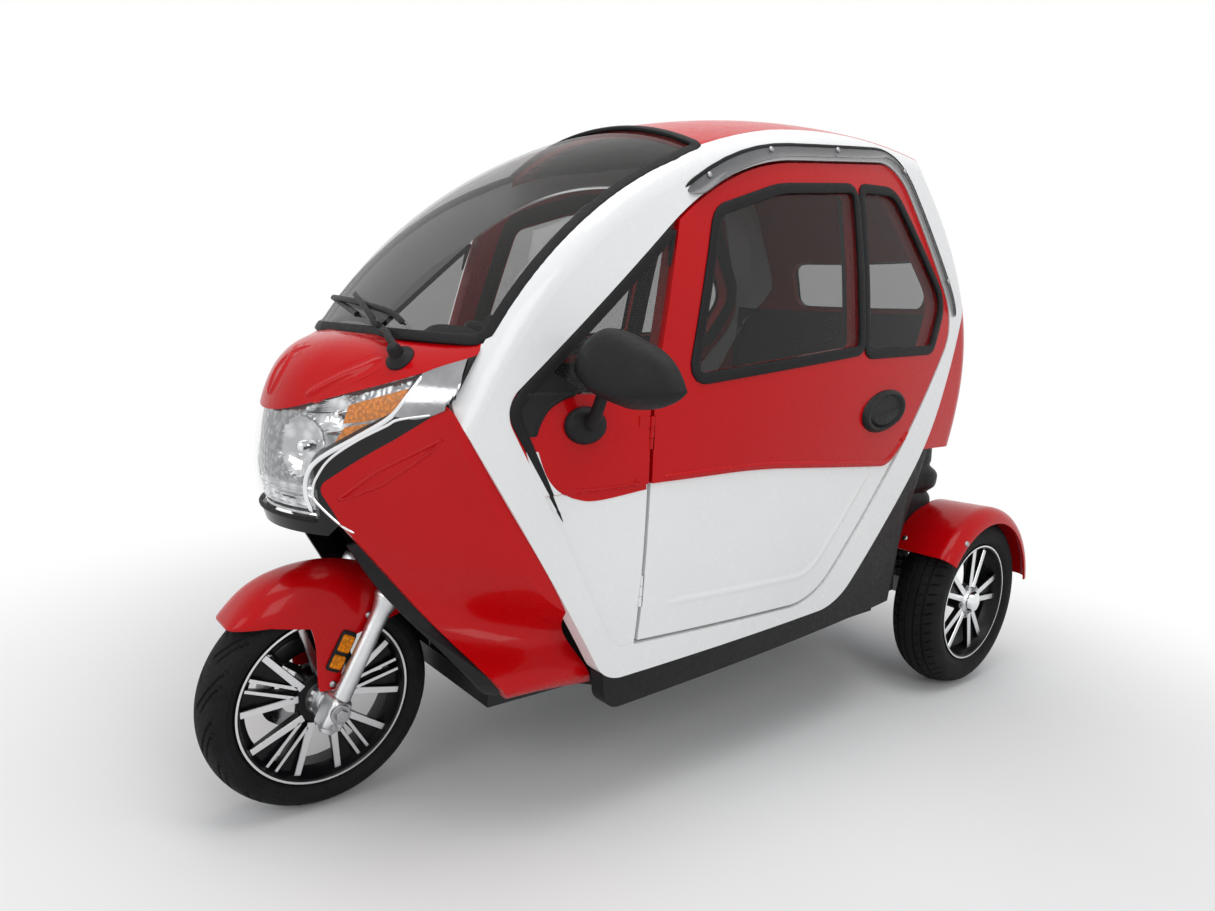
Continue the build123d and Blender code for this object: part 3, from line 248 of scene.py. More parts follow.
def stretch(points, keep):
    """The run of a closed line's points that a mask keeps, from where the run begins."""
    start = np.flatnonzero(keep & ~np.roll(keep, 1))[0]
    return np.roll(points, -start, 0)[np.roll(keep, -start)]


def tapered(count, share):
    """Sizes along a strip whose ends round off over a share of its length: a circle's quarter."""
    t = np.linspace(0, 1, count)
    near = np.clip(np.minimum(t, 1 - t) / share, 0.03, 1)
    return np.sqrt(near * (2 - near))


def eased(normals, closed=False):
    """Normals averaged with their neighbours, so that facets of the CAD skin do not show."""
    span = 4
    ends = "wrap" if closed else "edge"
    padded = np.pad(normals, ((span, span), (0, 0)), ends)
    return unit(sum(padded[k:k + len(normals)] for k in range(2 * span + 1)))


def strip(tree, line, side, profile, closed=False, ends=0.0):
    """A profile carried along a side-view line that lies on a skin."""
    spots, normals = on_side(tree, line, side)
    size = tapered(len(spots), ends) if ends else 1.0
    return carried(spots, eased(normals, closed), profile, closed, size)


def stud(spot, way, rows, count=20):
    """A profile of height and radius turned about a line from a spot, along a way."""
    way = unit(np.asarray(way, float))
    first = unit(np.cross(way, (0.31, 0.42, 0.85)))
    second = np.cross(way, first)
    t = np.linspace(0, 2 * np.pi, count, endpoint=False)
    ring = np.cos(t)[:, None] * first + np.sin(t)[:, None] * second
    rows = np.asarray(rows, float)
    return np.asarray(spot) + rows[:, None, :1] * way + rows[:, None, 1:] * ring


def slab(spots, normals, out, deep):
    """Closed sheet over a grid of spots: its outer face moved out along the normals, its inner face deep below it."""
    outer = spots + out * normals
    return np.concatenate((outer, (outer - deep * normals)[:, ::-1]), 1)


def between(first, last, count):
    """Grid of points from one line to another, straight across."""
    v = np.linspace(0, 1, count)[None, :, None]
    return first[:, None] * (1 - v) + last[:, None] * v


def mirrored(grids):
    """The grids and their copies on the other side of the middle plane."""
    return list(grids) + [grid * (-1, 1, 1) for grid in grids]


def badge(spot, way, upright, halves, high, sink=0.003, power=4.0):
    """Superellipse plate with a rounded edge: rings out from its middle, its level falling at the rim."""
    way = unit(np.asarray(way, float))
    up = unit(np.asarray(upright, float) - way * (way @ np.asarray(upright, float)))
    over = np.cross(up, way)
    flat = oval(halves[0], halves[1], 56, power)
    t = np.array((0.03, 0.3, 0.6, 0.8, 0.9, 0.96, 1.0, 1.0))
    level = high * np.array((1.0, 1.0, 0.98, 0.93, 0.84, 0.68, 0.40, 0.0)) - np.array((0,) * 7 + (sink,))
    return np.asarray(spot) + (t[:, None, None] * (flat[:, :1] * over + flat[:, 1:] * up)) + level[:, None, None] * way


DOME = np.array([(-0.5, 1.0), (0.0, 1.0)] + [(0.6 * np.sin(t), np.cos(t)) for t in np.linspace(0.15, 1.5, 7)])
HEX_BOLT = np.array(((-0.3, 1.0), (0.0, 1.0), (0.62, 1.0), (0.72, 0.9), (0.74, 0.5)))
WASHER = np.array(((-0.2, 1.0), (0.18, 1.0), (0.24, 0.94), (0.24, 0.3)))


def bolts(spots, normals, radius):
    """Hexagon bolts with washers at some spots."""
    grids = []
    for spot, normal in zip(spots, normals):
        grids += [stud(spot, normal, WASHER * radius * 1.5),
                  stud(spot + 0.3 * radius * unit(normal), normal, HEX_BOLT * radius, 6)]
    return grids


# Camera, fitted to the photograph: place, yaw, pitch and roll in degrees, focal length in pixels
CAMERA_SPOT = at([(1507.1, -569.8, 954.7)])[0]
YAW, PITCH, ROLL = np.radians((40.073, -8.811, 3.72))
FOCAL = 829.3
PICTURE = np.array((1215.0, 911.0))
AHEAD = np.array((-np.cos(PITCH) * np.cos(YAW), np.cos(PITCH) * np.sin(YAW), np.sin(PITCH)))
LEVEL = unit(np.cross(AHEAD, (0, 0, 1.0)))
UPRIGHT = np.cross(LEVEL, AHEAD)
RIGHT = np.cos(ROLL) * LEVEL + np.sin(ROLL) * UPRIGHT
ABOVE = np.cos(ROLL) * UPRIGHT - np.sin(ROLL) * LEVEL


def seen(tree, pixels):
    """Where sight lines through points of the picture meet a skin, with the normals there."""
    slopes = (np.asarray(pixels, float) - PICTURE / 2) / FOCAL
    ways = unit(AHEAD + slopes[:, :1] * RIGHT - slopes[:, 1:] * ABOVE)
    hits = [tree.ray_cast(Vector(CAMERA_SPOT), Vector(way)) for way in ways]
    far = np.median([h[3] for h in hits if h[0] is not None])
    hits = [h if h[0] is not None else tree.find_nearest(Vector(CAMERA_SPOT + far * way)) for h, way in zip(hits, ways)]
    return np.array([h[0] for h in hits]), np.array([h[1] for h in hits])


# Finishes


class Nodes:
    """A material's node tree with short calls to add and link nodes."""

    def __init__(self, name):
        self.material = bpy.data.materials.new(name)
        self.material.use_nodes = True
        self.tree = self.material.node_tree
        self.shader = self.tree.nodes["Principled BSDF"]
        self.place = self.add("ShaderNodeTexCoord").outputs["Object"]

    def add(self, kind, **values):
        node = self.tree.nodes.new(kind)
        for key, value in values.items():
            if key in node.inputs:
                node.inputs[key].default_value = value
            else:
                setattr(node, key, value)
        return node

    def link(self, source, target):
        self.tree.links.new(source, target)

    def noise(self, scale, detail=4.0, place=None):
        node = self.add("ShaderNodeTexNoise", Scale=scale, Detail=detail)
        self.link(place or self.place, node.inputs["Vector"])
        return node.outputs["Fac"]

    def ramp(self, source, low, high, start, end):
        """Colours or greys from start to end as the source goes from low to high."""
        node = self.add("ShaderNodeValToRGB")
        node.color_ramp.elements[0].position = low
        node.color_ramp.elements[1].position = high
        node.color_ramp.elements[0].color = (*start, 1)
        node.color_ramp.elements[1].color = (*end, 1)
        self.link(source, node.inputs["Fac"])
        return node.outputs["Color"]

    def spread(self, source, low, high):
        """A source between 0 and 1 spread over a range."""
        node = self.add("ShaderNodeMapRange")
        node.inputs["From Min"].default_value = 0.3
        node.inputs["From Max"].default_value = 0.7
        node.inputs["To Min"].default_value = low
        node.inputs["To Max"].default_value = high
        self.link(source, node.inputs["Value"])
        return node.outputs["Result"]

    def bump(self, source, depth, strength=1.0):
        node = self.add("ShaderNodeBump", Strength=strength, Distance=depth)
        self.link(source, node.inputs["Height"])
        self.link(node.outputs["Normal"], self.shader.inputs["Normal"])
        return node

    def set(self, **values):
        for key, value in values.items():
            self.shader.inputs[key.replace("_", " ")].default_value = value


def finish(name, colour, rough, vary=0.05, patch=6.0, grain=None, **sockets):
    """Finish with slow colour changes, roughness between two values and a fine grain bump."""
    n = Nodes(name)
    colour = np.array(colour)
    slow = n.noise(patch, 3.0)
    tint = n.ramp(slow, 0.3, 0.7, colour * (1 - vary), np.minimum(colour * (1 + vary), 1))
    n.link(tint, n.shader.inputs["Base Color"])
    n.link(n.spread(n.noise(patch * 9), *rough), n.shader.inputs["Roughness"])
    if grain:
        n.bump(n.noise(grain[0], 6.0), grain[1])
    n.set(**sockets)
    return n.material


def machined(name, colour, centre, pitch):
    """Lathe-turned metal: fine rings about an axle as bump, with bright and dull rings."""
    n = Nodes(name)
    shift = n.add("ShaderNodeMapping")
    shift.inputs["Location"].default_value = tuple(-np.asarray(centre))
    shift.inputs["Scale"].default_value = (0.0, 1.0, 1.0)
    shift.inputs["Location"].default_value[0] = 0.0
    n.link(n.place, shift.inputs["Vector"])
    rings = n.add("ShaderNodeTexWave", wave_type="RINGS", rings_direction="SPHERICAL", Scale=pitch, Distortion=0.6)
    rings.inputs["Detail"].default_value = 3.0
    n.link(shift.outputs["Vector"], rings.inputs["Vector"])
    n.link(n.ramp(rings.outputs["Fac"], 0.2, 0.9, np.array(colour) * 0.82, colour), n.shader.inputs["Base Color"])
    n.link(n.spread(rings.outputs["Fac"], 0.16, 0.3), n.shader.inputs["Roughness"])
    n.bump(rings.outputs["Fac"], 0.0001, 0.35)
    n.set(Metallic=1.0)
    return n.material


def faceted(name, colour, scale, depth, rough=0.06, **sockets):
    """Lamp facets: cells of a Voronoi pattern as a bump that breaks up the light."""
    n = Nodes(name)
    cells = n.add("ShaderNodeTexVoronoi", Scale=scale)
    n.link(n.place, cells.inputs["Vector"])
    n.bump(cells.outputs["Distance"], depth)
    colour = np.array(colour)
    n.link(n.ramp(cells.outputs["Distance"], 0.1, 0.7, colour, colour * 0.55), n.shader.inputs["Base Color"])
    n.set(Roughness=rough, **sockets)
    return n.material


def pane(name, colour, opaque, rough=(0.0, 0.03)):
    """Tinted glass: dark see-through sheet with a hard gloss and a trace of dust."""
    n = Nodes(name)
    colour = np.array(colour)
    n.link(n.ramp(n.noise(5.0), 0.3, 0.7, colour * 0.9, colour * 1.1), n.shader.inputs["Base Color"])
    n.link(n.spread(n.noise(30.0), *rough), n.shader.inputs["Roughness"])
    n.set(Alpha=opaque, IOR=1.5, Specular_IOR_Level=0.45)
    return n.material


RED = finish("red gel coat", (0.50, 0.0010, 0.003), (0.22, 0.32), 0.04, 4.0, (900.0, 0.00002), Coat_Weight=0.22,
             Coat_Roughness=0.02, Specular_IOR_Level=0.10)
WHITE = finish("white gel coat", (0.80, 0.81, 0.81), (0.2, 0.3), 0.015, 4.0, (900.0, 0.00002), Coat_Weight=0.4,
               Coat_Roughness=0.04, Specular_IOR_Level=0.3)
BLACK_GLOSS = finish("gloss black", (0.004, 0.004, 0.005), (0.12, 0.22), 0.2, 8.0, (600.0, 0.00003),
                     Specular_IOR_Level=0.3)
BLACK_PLASTIC = finish("moulded black plastic", (0.010, 0.010, 0.011), (0.42, 0.6), 0.2, 12.0, (1400.0, 0.00025),
                       Specular_IOR_Level=0.2)
BLACK_METAL = finish("black frame paint", (0.009, 0.009, 0.010), (0.3, 0.45), 0.2, 9.0, (700.0, 0.00008),
                     Specular_IOR_Level=0.3)
RUBBER = finish("black rubber trim", (0.007, 0.007, 0.008), (0.5, 0.68), 0.2, 20.0, (1800.0, 0.00015),
                Specular_IOR_Level=0.2)
TYRE = finish("tyre rubber", (0.008, 0.008, 0.009), (0.62, 0.85), 0.3, 24.0, (1500.0, 0.0003), Specular_IOR_Level=0.16)
CHROME = finish("chrome", (0.80, 0.81, 0.82), (0.03, 0.08), 0.05, 10.0, Metallic=1.0)
DARK_CHROME = finish("smoked chrome", (0.30, 0.30, 0.31), (0.08, 0.2), 0.3, 14.0, Metallic=1.0)
ALLOY = finish("cast fork alloy", (0.62, 0.63, 0.64), (0.3, 0.45), 0.08, 18.0, (1100.0, 0.00012), Metallic=1.0)
STEEL = finish("axle steel", (0.36, 0.36, 0.37), (0.28, 0.45), 0.1, 30.0, (800.0, 0.0001), Metallic=1.0)
WHEEL_BLACK = finish("gloss black wheel paint", (0.004, 0.004, 0.005), (0.28, 0.4), 0.2, 14.0, Specular_IOR_Level=0.2)
FRONT_CUT = machined("machined front wheel face", (0.80, 0.81, 0.82), FRONT_HUB, 420.0)
REAR_CUT = machined("machined rear wheel face", (0.80, 0.81, 0.82), REAR_HUB, 420.0)
SHIELD_GLASS = pane("tinted windshield", (0.020, 0.018, 0.016), 0.34)
SIDE_GLASS = pane("tinted side glass", (0.020, 0.021, 0.020), 0.32)
SMOKE = pane("smoked visor sheet", (0.12, 0.12, 0.125), 0.55)
LENS = pane("clear lamp lens", (0.85, 0.87, 0.88), 0.04)
TAIL_LENS = faceted("red tail lens", (0.42, 0.006, 0.01), 160.0, 0.0008, Coat_Weight=0.5)
REFLECTOR = faceted("lamp reflector", (0.80, 0.81, 0.82), 46.0, 0.0016, 0.05, Metallic=1.0)
RIBBED = faceted("ribbed lamp insert", (0.40, 0.41, 0.42), 90.0, 0.0012, 0.10, Metallic=1.0)
AMBER = faceted("amber turn lens", (0.92, 0.27, 0.0), 170.0, 0.0010, 0.10, Specular_IOR_Level=0.15)
LEATHER = finish("grained seat cover", (0.030, 0.029, 0.029), (0.42, 0.58), 0.15, 10.0, (420.0, 0.0006))

CAD_FINISH = {
    "frame_paint": BLACK_METAL,
    "black_plastic": BLACK_PLASTIC,
    "gloss_black": BLACK_GLOSS,
    "white_paint": WHITE,
    "red_paint": RED,
    "tinted_glass": SIDE_GLASS,
    "clear_lens": LENS,
    "tail_lens": TAIL_LENS,
    "lamp_chrome": CHROME,
    "fork_alloy": ALLOY,
    "fork_chrome": CHROME,
    "wheel_alloy": WHEEL_BLACK,
    "axle_steel": STEEL,
    "tyre_rubber": TYRE,
    "seat_cover": LEATHER,
}
for row in frame["record"]["subparts"]:
    node = NODES[row["node"]]
    node.data.materials.clear()
    node.data.materials.append(CAD_FINISH[row["material_slot"]])
NODES["windshield"].data.materials[0] = SHIELD_GLASS


# Wheels

RIM_R = 0.165
SEAT_R = 0.158
TREAD_SHARE = 0.82
SHOULDER_DROP = 0.22
WALL_POINTS = 12


def tyre_section(radius, width, walls, tread):
    """Closed tyre section from the left bead over the tread to the right bead: arcs as in the CAD."""
    half = width / 2
    bead = half - 0.014
    wall = (RIM_R + radius) / 2 - 0.006
    shoulder = radius - (radius - RIM_R) * SHOULDER_DROP
    edge = half * TREAD_SHARE
    left = arc3((-bead, RIM_R + 0.002), (-half, wall), (-edge, shoulder), walls)
    top = arc3((-edge, shoulder), (0, radius), (edge, shoulder), tread)
    right = left[::-1] * (-1, 1)
    return np.concatenate(([(-bead, SEAT_R)], left[:-1], top, right[1:], [(bead, SEAT_R)]))


def front_tread(x, turn, radius):
    """Slanted grooves in pairs that sweep back from the middle, alternately on the left and the right."""
    pitch = 2 * np.pi / 15
    depth = np.zeros(np.broadcast(x, turn).shape)
    for side, start, lean in ((1, 0.0, 1.15), (-1, 0.5, 1.15)):
        across = np.clip(side * x / 0.055, 0, 1)
        phase = (turn / pitch + start + lean * across**1.25) % 1.0
        near = np.minimum(abs(phase - 0.3), abs(phase - 0.3 - 1)) * pitch * radius
        second = np.minimum(abs(phase - 0.62), abs(phase - 0.62 - 1)) * pitch * radius
        long_cut = (1 - smooth(near, 0.0022, 0.0042)) * smooth(across, 0.05, 0.12) * (1 - smooth(across, 0.86, 0.93))
        short_cut = (1 - smooth(second, 0.0018, 0.0036)) * smooth(across, 0.36, 0.42) * (1 - smooth(across, 0.90, 0.96))
        depth = np.maximum(depth, np.maximum(long_cut, short_cut))
    return 0.0058 * depth


def rear_tread(x, turn, radius):
    """Four round grooves, slanted shoulder grooves and fine sipes between them."""
    pitch = 2 * np.pi / 54
    rings = np.zeros(np.broadcast(x, turn).shape)
    for spot, wide in ((-0.034, 0.0036), (-0.012, 0.0032), (0.012, 0.0032), (0.034, 0.0036)):
        rings = np.maximum(rings, 1 - smooth(abs(x - spot), wide * 0.5, wide * 0.9))
    out = abs(x) / 0.0675
    phase = (turn / pitch + 0.8 * out) % 1.0
    near = abs(phase - 0.5) * pitch * radius
    bars = (1 - smooth(near, 0.0014, 0.0028)) * smooth(out, 0.56, 0.6)
    sipes = 0.5 * (1 - smooth(near, 0.0007, 0.0018)) * (1 - smooth(out, 0.44, 0.48)) * smooth(out, 0.22, 0.25)
    return 0.0055 * np.maximum(rings, np.maximum(bars, sipes))


def tyre_mesh(name, centre, radius, width, tread, around, across):
    """Tyre: the section turned about the axle, less the tread's depth, with rings pressed in its walls."""
    section = tyre_section(radius, width, WALL_POINTS, across)
    angles = np.linspace(0, 2 * np.pi, around, endpoint=False)
    x, r = section[:, 0], section[:, 1]
    depth = tread(x[None], angles[:, None], radius) * smooth(r, radius - 0.026, radius - 0.016)[None]
    rings = 0.0012 * sum(np.exp(-(((r - spot) / 0.0016) ** 2)) for spot in (RIM_R + 0.006, RIM_R + 0.018))
    sides = np.sign(x) * rings * (r < radius - 0.02)
    t = angles[:, None]
    grid = np.stack((np.broadcast_to(x + sides, depth.shape), (r - depth) * np.cos(t), (r - depth) * np.sin(t)), -1)
    return grid_mesh(name, [grid + centre], (True, True), False, 30.0)


def rim_grids(centre, width):
    """Rim barrel with a drop centre and two flanges, as one closed section turned about the axle."""
    bead = width / 2 - 0.014
    lip = bead + 0.006
    section = np.array((
        (-lip, 0.165), (-lip + 0.003, 0.1665), (-bead, 0.165), (-bead + 0.004, 0.158), (-bead * 0.55, 0.156),
        (-bead * 0.4, 0.146), (bead * 0.4, 0.146), (bead * 0.55, 0.156), (bead - 0.004, 0.158), (bead, 0.165),
        (lip - 0.003, 0.1665), (lip, 0.165), (lip, 0.161), (lip - 0.0025, 0.1575), (bead * 0.6, 0.150),
        (bead * 0.42, 0.141), (-bead * 0.42, 0.141), (-bead * 0.6, 0.150), (-lip + 0.0025, 0.1575), (-lip, 0.161),
    ))
    marks = np.zeros(len(section), int)
    marks[11] = 1
    marks[19] = 1
    angles = np.linspace(0, 2 * np.pi, 120, endpoint=False)
    return turned(section, centre, angles), marks


def bar_grid(start, end, front, width, depth):
    """Spoke bar in an upright plane: a bevelled rectangle carried from hub to rim, tapered in width."""
    t = np.linspace(0, 1, 9)[:, None]
    path = (1 - t) * np.asarray(start) + t * np.asarray(end)
    path = np.column_stack((np.full(len(t), front), path))
    w0, w1 = width
    bevel = 0.0012
    half = w0 + (w1 - w0) * t[:, 0]
    way = unit(np.gradient(path, axis=0))
    side = unit(np.cross((1.0, 0, 0), way))
    rows = np.array(((-1, -bevel), (-1 + 0.12, 0), (1 - 0.12, 0), (1, -bevel), (1, -depth), (-1, -depth)))
    return path[:, None] + half[:, None, None] * rows[None, :, :1] * side[:, None] + rows[None, :, 1:] * (1.0, 0, 0)


def polar(radius, degrees):
    """Point of a wheel's plane at a radius and an angle."""
    return radius * np.cos(np.radians(degrees)), radius * np.sin(np.radians(degrees))


def spokes(centre, side, face, start, layout, depth):
    """Spoke bars of one wheel face: each row gives hub radius and angle, rim radius and angle, widths."""
    grids = []
    for turn in np.arange(5) * 72.0 + start:
        for r0, a0, r1, a1, w0, w1 in layout:
            grid = bar_grid(polar(r0, turn + a0), polar(r1, turn + a1), face, (w0, w1), depth)
            grids.append(grid * (side, 1, 1) + centre)
    return grids, [np.array((1, 1, 1, 0, 0, 0))] * len(grids)


FRONT_SPOKES = (
    (0.050, -12.0, 0.153, -21.0, 0.0074, 0.0064),
    (0.060, -8.5, 0.153, -4.0, 0.0036, 0.0032),
    (0.060, 8.5, 0.153, 4.0, 0.0036, 0.0032),
    (0.050, 12.0, 0.153, 21.0, 0.0074, 0.0064),
)
FRONT_WEBS = ((0.034, -9.0, 0.150, -12.5, 0.0080, 0.0225), (0.034, 9.0, 0.150, 12.5, 0.0080, 0.0225))
REAR_WEBS = ((0.034, 0.0, 0.150, 0.0, 0.0100, 0.0240),)
REAR_SPOKES = (
    (0.040, -12.0, 0.152, -11.5, 0.0085, 0.0080),
    (0.040, 12.0, 0.152, 11.5, 0.0085, 0.0080),
)


def wheel(name, node, centre, width, side, face, start, layout, web, cut, hub):
    """Wheel: turned barrel, spoke bars with machined faces on black, and a stepped hub with a cap."""
    barrel, marks = rim_grids(centre, width)
    made(name + "_barrel", [barrel], node[0], "wheel_alloy", WHEEL_BLACK, cut, replaces=(node[1],), crisp=30.0,
         bands=[marks], **RING)
    grids, bands = spokes(centre, side, face, start, layout, 0.011)
    webs, dark = spokes(centre, side, face - 0.009, start, web, 0.012)
    grids, bands = grids + webs, bands + [0 * d for d in dark]
    made(name + "_spokes", grids, node[0], "wheel_alloy", WHEEL_BLACK, cut, crisp=25.0, bands=bands)
    inner, outer, bore = hub
    profile = np.array((
        (inner, bore), (inner, 0.031), (face - 0.022, 0.034), (face - 0.020, 0.050), (face - 0.006, 0.052),
        (face - 0.003, 0.049), (face - 0.002, 0.036), (outer - 0.006, 0.033), (outer, 0.030), (outer, bore),
    )) * (side, 1)
    hub_marks = np.zeros(len(profile), int)
    hub_marks[6:9] = 1
    hub_grid = turned(profile, centre, np.linspace(0, 2 * np.pi, 64, endpoint=False))
    made(name + "_hub", [hub_grid], node[0], "wheel_alloy", WHEEL_BLACK, cut, crisp=30.0, bands=[hub_marks], **RING)


piece("front_tyre_tread", tyre_mesh("front_tyre_tread", FRONT_HUB, 0.219, 0.110, front_tread, 608, 56),
      "front_wheel", "tyre_rubber", TYRE, replaces=("front_tyre",))
wheel("front_wheel", ("front_wheel", "front_rim"), FRONT_HUB, 0.110, 1, 0.036, 14.0, FRONT_SPOKES, FRONT_WEBS,
      FRONT_CUT, (-0.052, 0.052, 0.0081))
for side, name in SIDES:
    hub_at = REAR_HUB * (side, 1, 1)
    piece(f"rear_tyre_tread_{name}", tyre_mesh(f"rear_tyre_tread_{name}", hub_at, 0.247, 0.135, rear_tread, 648, 64),
          f"rear_wheel_{name}", "tyre_rubber", TYRE, replaces=(f"rear_tyre_{name}",))
    wheel(f"rear_wheel_{name}", (f"rear_wheel_{name}", f"rear_rim_{name}"), hub_at, 0.135, side, 0.044, 8.0,
          REAR_SPOKES, REAR_WEBS, REAR_CUT, (-0.060, 0.050, 0.0141))


# Trim along panel edges

HOOP_INNER = ((152, 815, 55), (398, 366, 60), (985, 362, 180), (1525, 1020, 130), (1300, 1395, 130), (655, 1290, 700))
DOOR_WINDOW = ((556, 872, 22), (628, 1182, 45), (815, 1252, 350), (1086, 1294, 22), (1074, 944, 18))
REAR_PANE = ((1122, 1299, 15), (1262, 1312, 70), (1455, 1072, 70), (1388, 955, 30), (1103, 936, 15))
LOWER_SKIN = ((100, 795, 0), (205, 664, 60), (740, 690, 2000), (1212, 668, 90), (1420, 830, 0), (1420, 200, 0),
              (100, 200, 0))
STRIP_WIDTHS = ((126, 528, 850), (350, 332, 288))
SHIELD_TOP = 600
COWL = 915
RIDGE = np.array([(x, 0.0022 * np.exp(-((x / 0.006) ** 2)) - 0.0004) for x in np.linspace(-0.02, 0.02, 15)]
                 + [(0.02, -0.003), (-0.02, -0.003)])
VISOR = np.array(((-0.008, 0.0005), (-0.006, 0.0040), (0.002, 0.0050), (0.012, 0.0085), (0.020, 0.0130),
                  (0.025, 0.0180), (0.0262, 0.0160), (0.021, 0.0105), (0.012, 0.0058), (0.002, 0.0010)))

for side, name in SIDES:
    panel = skin(f"door_panel_{name}", f"door_skin_{name}")
    seals = [strip(panel, grown(rounded(rows, 170), 6.0), side, oval(0.0115, 0.005, 14, 3.0), True)
             for rows in (DOOR_WINDOW, REAR_PANE)]
    made(f"window_seals_{name}", seals, f"door_{name}", "black_plastic", RUBBER, **RING)

    hoop_line = rounded(HOOP_INNER, 460)
    front_run = stretch(grown(hoop_line, -12.0), (hoop_line[:, 0] < 508) & (hoop_line[:, 1] > 610))
    spots, normals = on_side(skin("quarter_panels", "quarter_skins", "quarter_glass"), even(front_run, 150), side)
    # Real rubber seal along the glass; from 0.80 m down to 0.62 m it narrows to a thin black line that is a painted
    # shadow between the hoop and the white quarter skin.
    thinning_to_shadow_line = np.interp(spots[:, 2], (0.62, 0.80), (0.15, 1.0)) * tapered(150, 0.03)
    seal_and_shadow_line = carried(spots, eased(normals), oval(0.011, 0.005, 14, 3.0), False, thinning_to_shadow_line)
    made(f"quarter_seal_and_shadow_line_{name}", [seal_and_shadow_line], "body", "black_plastic", RUBBER)

    hoop = skin(f"side_frame_{name}")
    on_top = (hoop_line[:, 0] > 560) & (hoop_line[:, 1] > 1030)
    spots, normals = on_side(hoop, even(stretch(grown(hoop_line, 22.0), on_top), 130), side)
    visor = carried(spots, eased(normals), VISOR * (-0.85 * side, 0.8), False, tapered(130, 0.03))
    made(f"rain_visor_{name}", [visor], "body", "tinted_glass", SMOKE)
    tape = strip(hoop, even(stretch(grown(hoop_line, 31.0), on_top), 130), side, oval(0.004, 0.003, 10, 3.0), ends=0.02)
    made(f"visor_tape_{name}", [tape], "body", "black_plastic", RUBBER)
    heads = [stud(spots[k] + 0.006 * normals[k], normals[k], DOME * 0.006) for k in (10, 42, 74, 100, 122)]
    made(f"visor_screws_{name}", heads, "body", "axle_steel", STEEL)

    skin_line = rounded(LOWER_SKIN, 500)
    step_run = stretch(grown(skin_line, 9.0), (skin_line[:, 1] > 560) & (abs(skin_line[:, 0] - 905) < 425))
    step = strip(skin(f"door_panel_{name}"), even(step_run, 140), side, oval(0.006, 0.004, 12), ends=0.03)
    made(f"door_step_{name}", [step], f"door_{name}", "red_paint", RED)
    low_run = stretch(grown(hoop_line, -72.0), (hoop_line[:, 1] < 640) & (hoop_line[:, 0] > 520))
    crease = strip(skin(f"door_skin_{name}"), even(low_run, 120), side, RIDGE * (1.2, 1.3), ends=0.08)
    made(f"door_crease_{name}", [crease], f"door_{name}", "white_paint", WHITE)

stations = np.linspace(142, SHIELD_TOP, 80)
widths = np.interp(stations, *STRIP_WIDTHS)
shield = skin("windshield", "roof_panel", "hood", "side_frame_left", "side_frame_right")
down = at(np.column_stack((widths - 4, stations, np.full(80, 2000.0))))
left_edge, left_normals = cast(shield, down, (0, 0, -1))
across = np.linspace(1, -1, 70)[1:-1]
top_edge, top_normals = cast(shield, at(np.column_stack((across * (widths[-1] - 4), np.full(68, SHIELD_TOP + 2.0),
                                                         np.full(68, 2000.0)))), (0, 0, -1))
low_edge, low_normals = cast(shield, at(np.column_stack((-across * (widths[0] - 4), np.full(68, -900.0),
                                                         np.full(68, COWL + 4.0)))), (0, 1, 0))
met = low_edge[:, 2] > 0.9
low_edge, low_normals = low_edge[met], low_normals[met]
loop = np.concatenate((left_edge, top_edge, left_edge[::-1] * (-1, 1, 1), low_edge))
loop_normals = np.concatenate((left_normals, top_normals, left_normals[::-1] * (-1, 1, 1), low_normals))
gasket = carried(loop, eased(loop_normals, True), oval(0.0105, 0.005, 14, 3.0), True)
made("windshield_gasket", [gasket], "body", "black_plastic", RUBBER, **RING)


# Nose: headlamp insert, chrome lines, creases; wiper, mirrors and door handles

nose = skin("hood", "headlamp_lens", "nose_band", "front_fairing")
lens = skin("headlamp_lens")
# Lines of the nose as they lie in the picture, in its pixels
LENS_BORDER = ((422.4, 375.2), (418.3, 382.3), (407.5, 396.4), (389.3, 417.9), (356.1, 437.8), (326.2, 454.4),
               (311.3, 466.9), (305.7, 481.0), (306.3, 497.5), (312.3, 512.5))
BAND_LINE = ((433.2, 415.0), (399.2, 419.6), (385.9, 426.2), (356.1, 441.2), (329.6, 459.4), (316.6, 477.6),
             (313.0, 489.3), (315.5, 500.9), (339.5, 524.1), (354.4, 533.2))
SPEAR = (((423.3, 374.0), (440.7, 367.4), (468.0, 359.5)),
         ((393.4, 416.3), (414.1, 419.6), (432.4, 416.0), (453.0, 407.5)))
AMBER_TOP = (((346.1, 405.0), (372.7, 397.2), (406.7, 387.3)),
             ((340.8, 423.7), (366.0, 421.3), (385.9, 414.6), (397.5, 403.8)))
AMBER_LOW = (((342.0, 427.6), (354.4, 425.4), (366.9, 423.7)), ((332.2, 443.2), (346.1, 435.4), (361.1, 427.1)))
SLIT = ((337.8, 500.0), (376.0, 472.7), (405.8, 457.7), (439.0, 441.5), (442.7, 439.5), (435.7, 447.8), (414.1, 464.4),
        (381.0, 485.9), (362.7, 492.6), (342.8, 499.5))
HOOD_LINES = (((269.0, 394.7), (279.8, 374.8), (289.8, 356.6), (297.2, 343.3)),
              ((305.5, 395.6), (322.9, 385.6), (342.8, 375.7), (362.7, 367.4), (382.6, 358.2)))
BOWL, SMALL_BOWL = seen(lens, ((293.0, 447.0), (330.0, 415.0)))[0]


def sighted(tree, lines, counts, out, deep):
    """Closed sheet on a skin between two picture lines."""
    first, last = (flowing(line, counts[0]) for line in lines)
    grid = between(first, last, counts[1])
    spots, normals = seen(tree, grid.reshape(-1, 2))
    spots = spots.reshape(*counts, 3)
    out_way = unit(np.cross(np.gradient(spots, axis=0), np.gradient(spots, axis=1)))
    out_way = out_way * np.sign(np.sum(out_way * normals.reshape(*counts, 3), -1, keepdims=True))
    return slab(spots, out_way, out, deep)


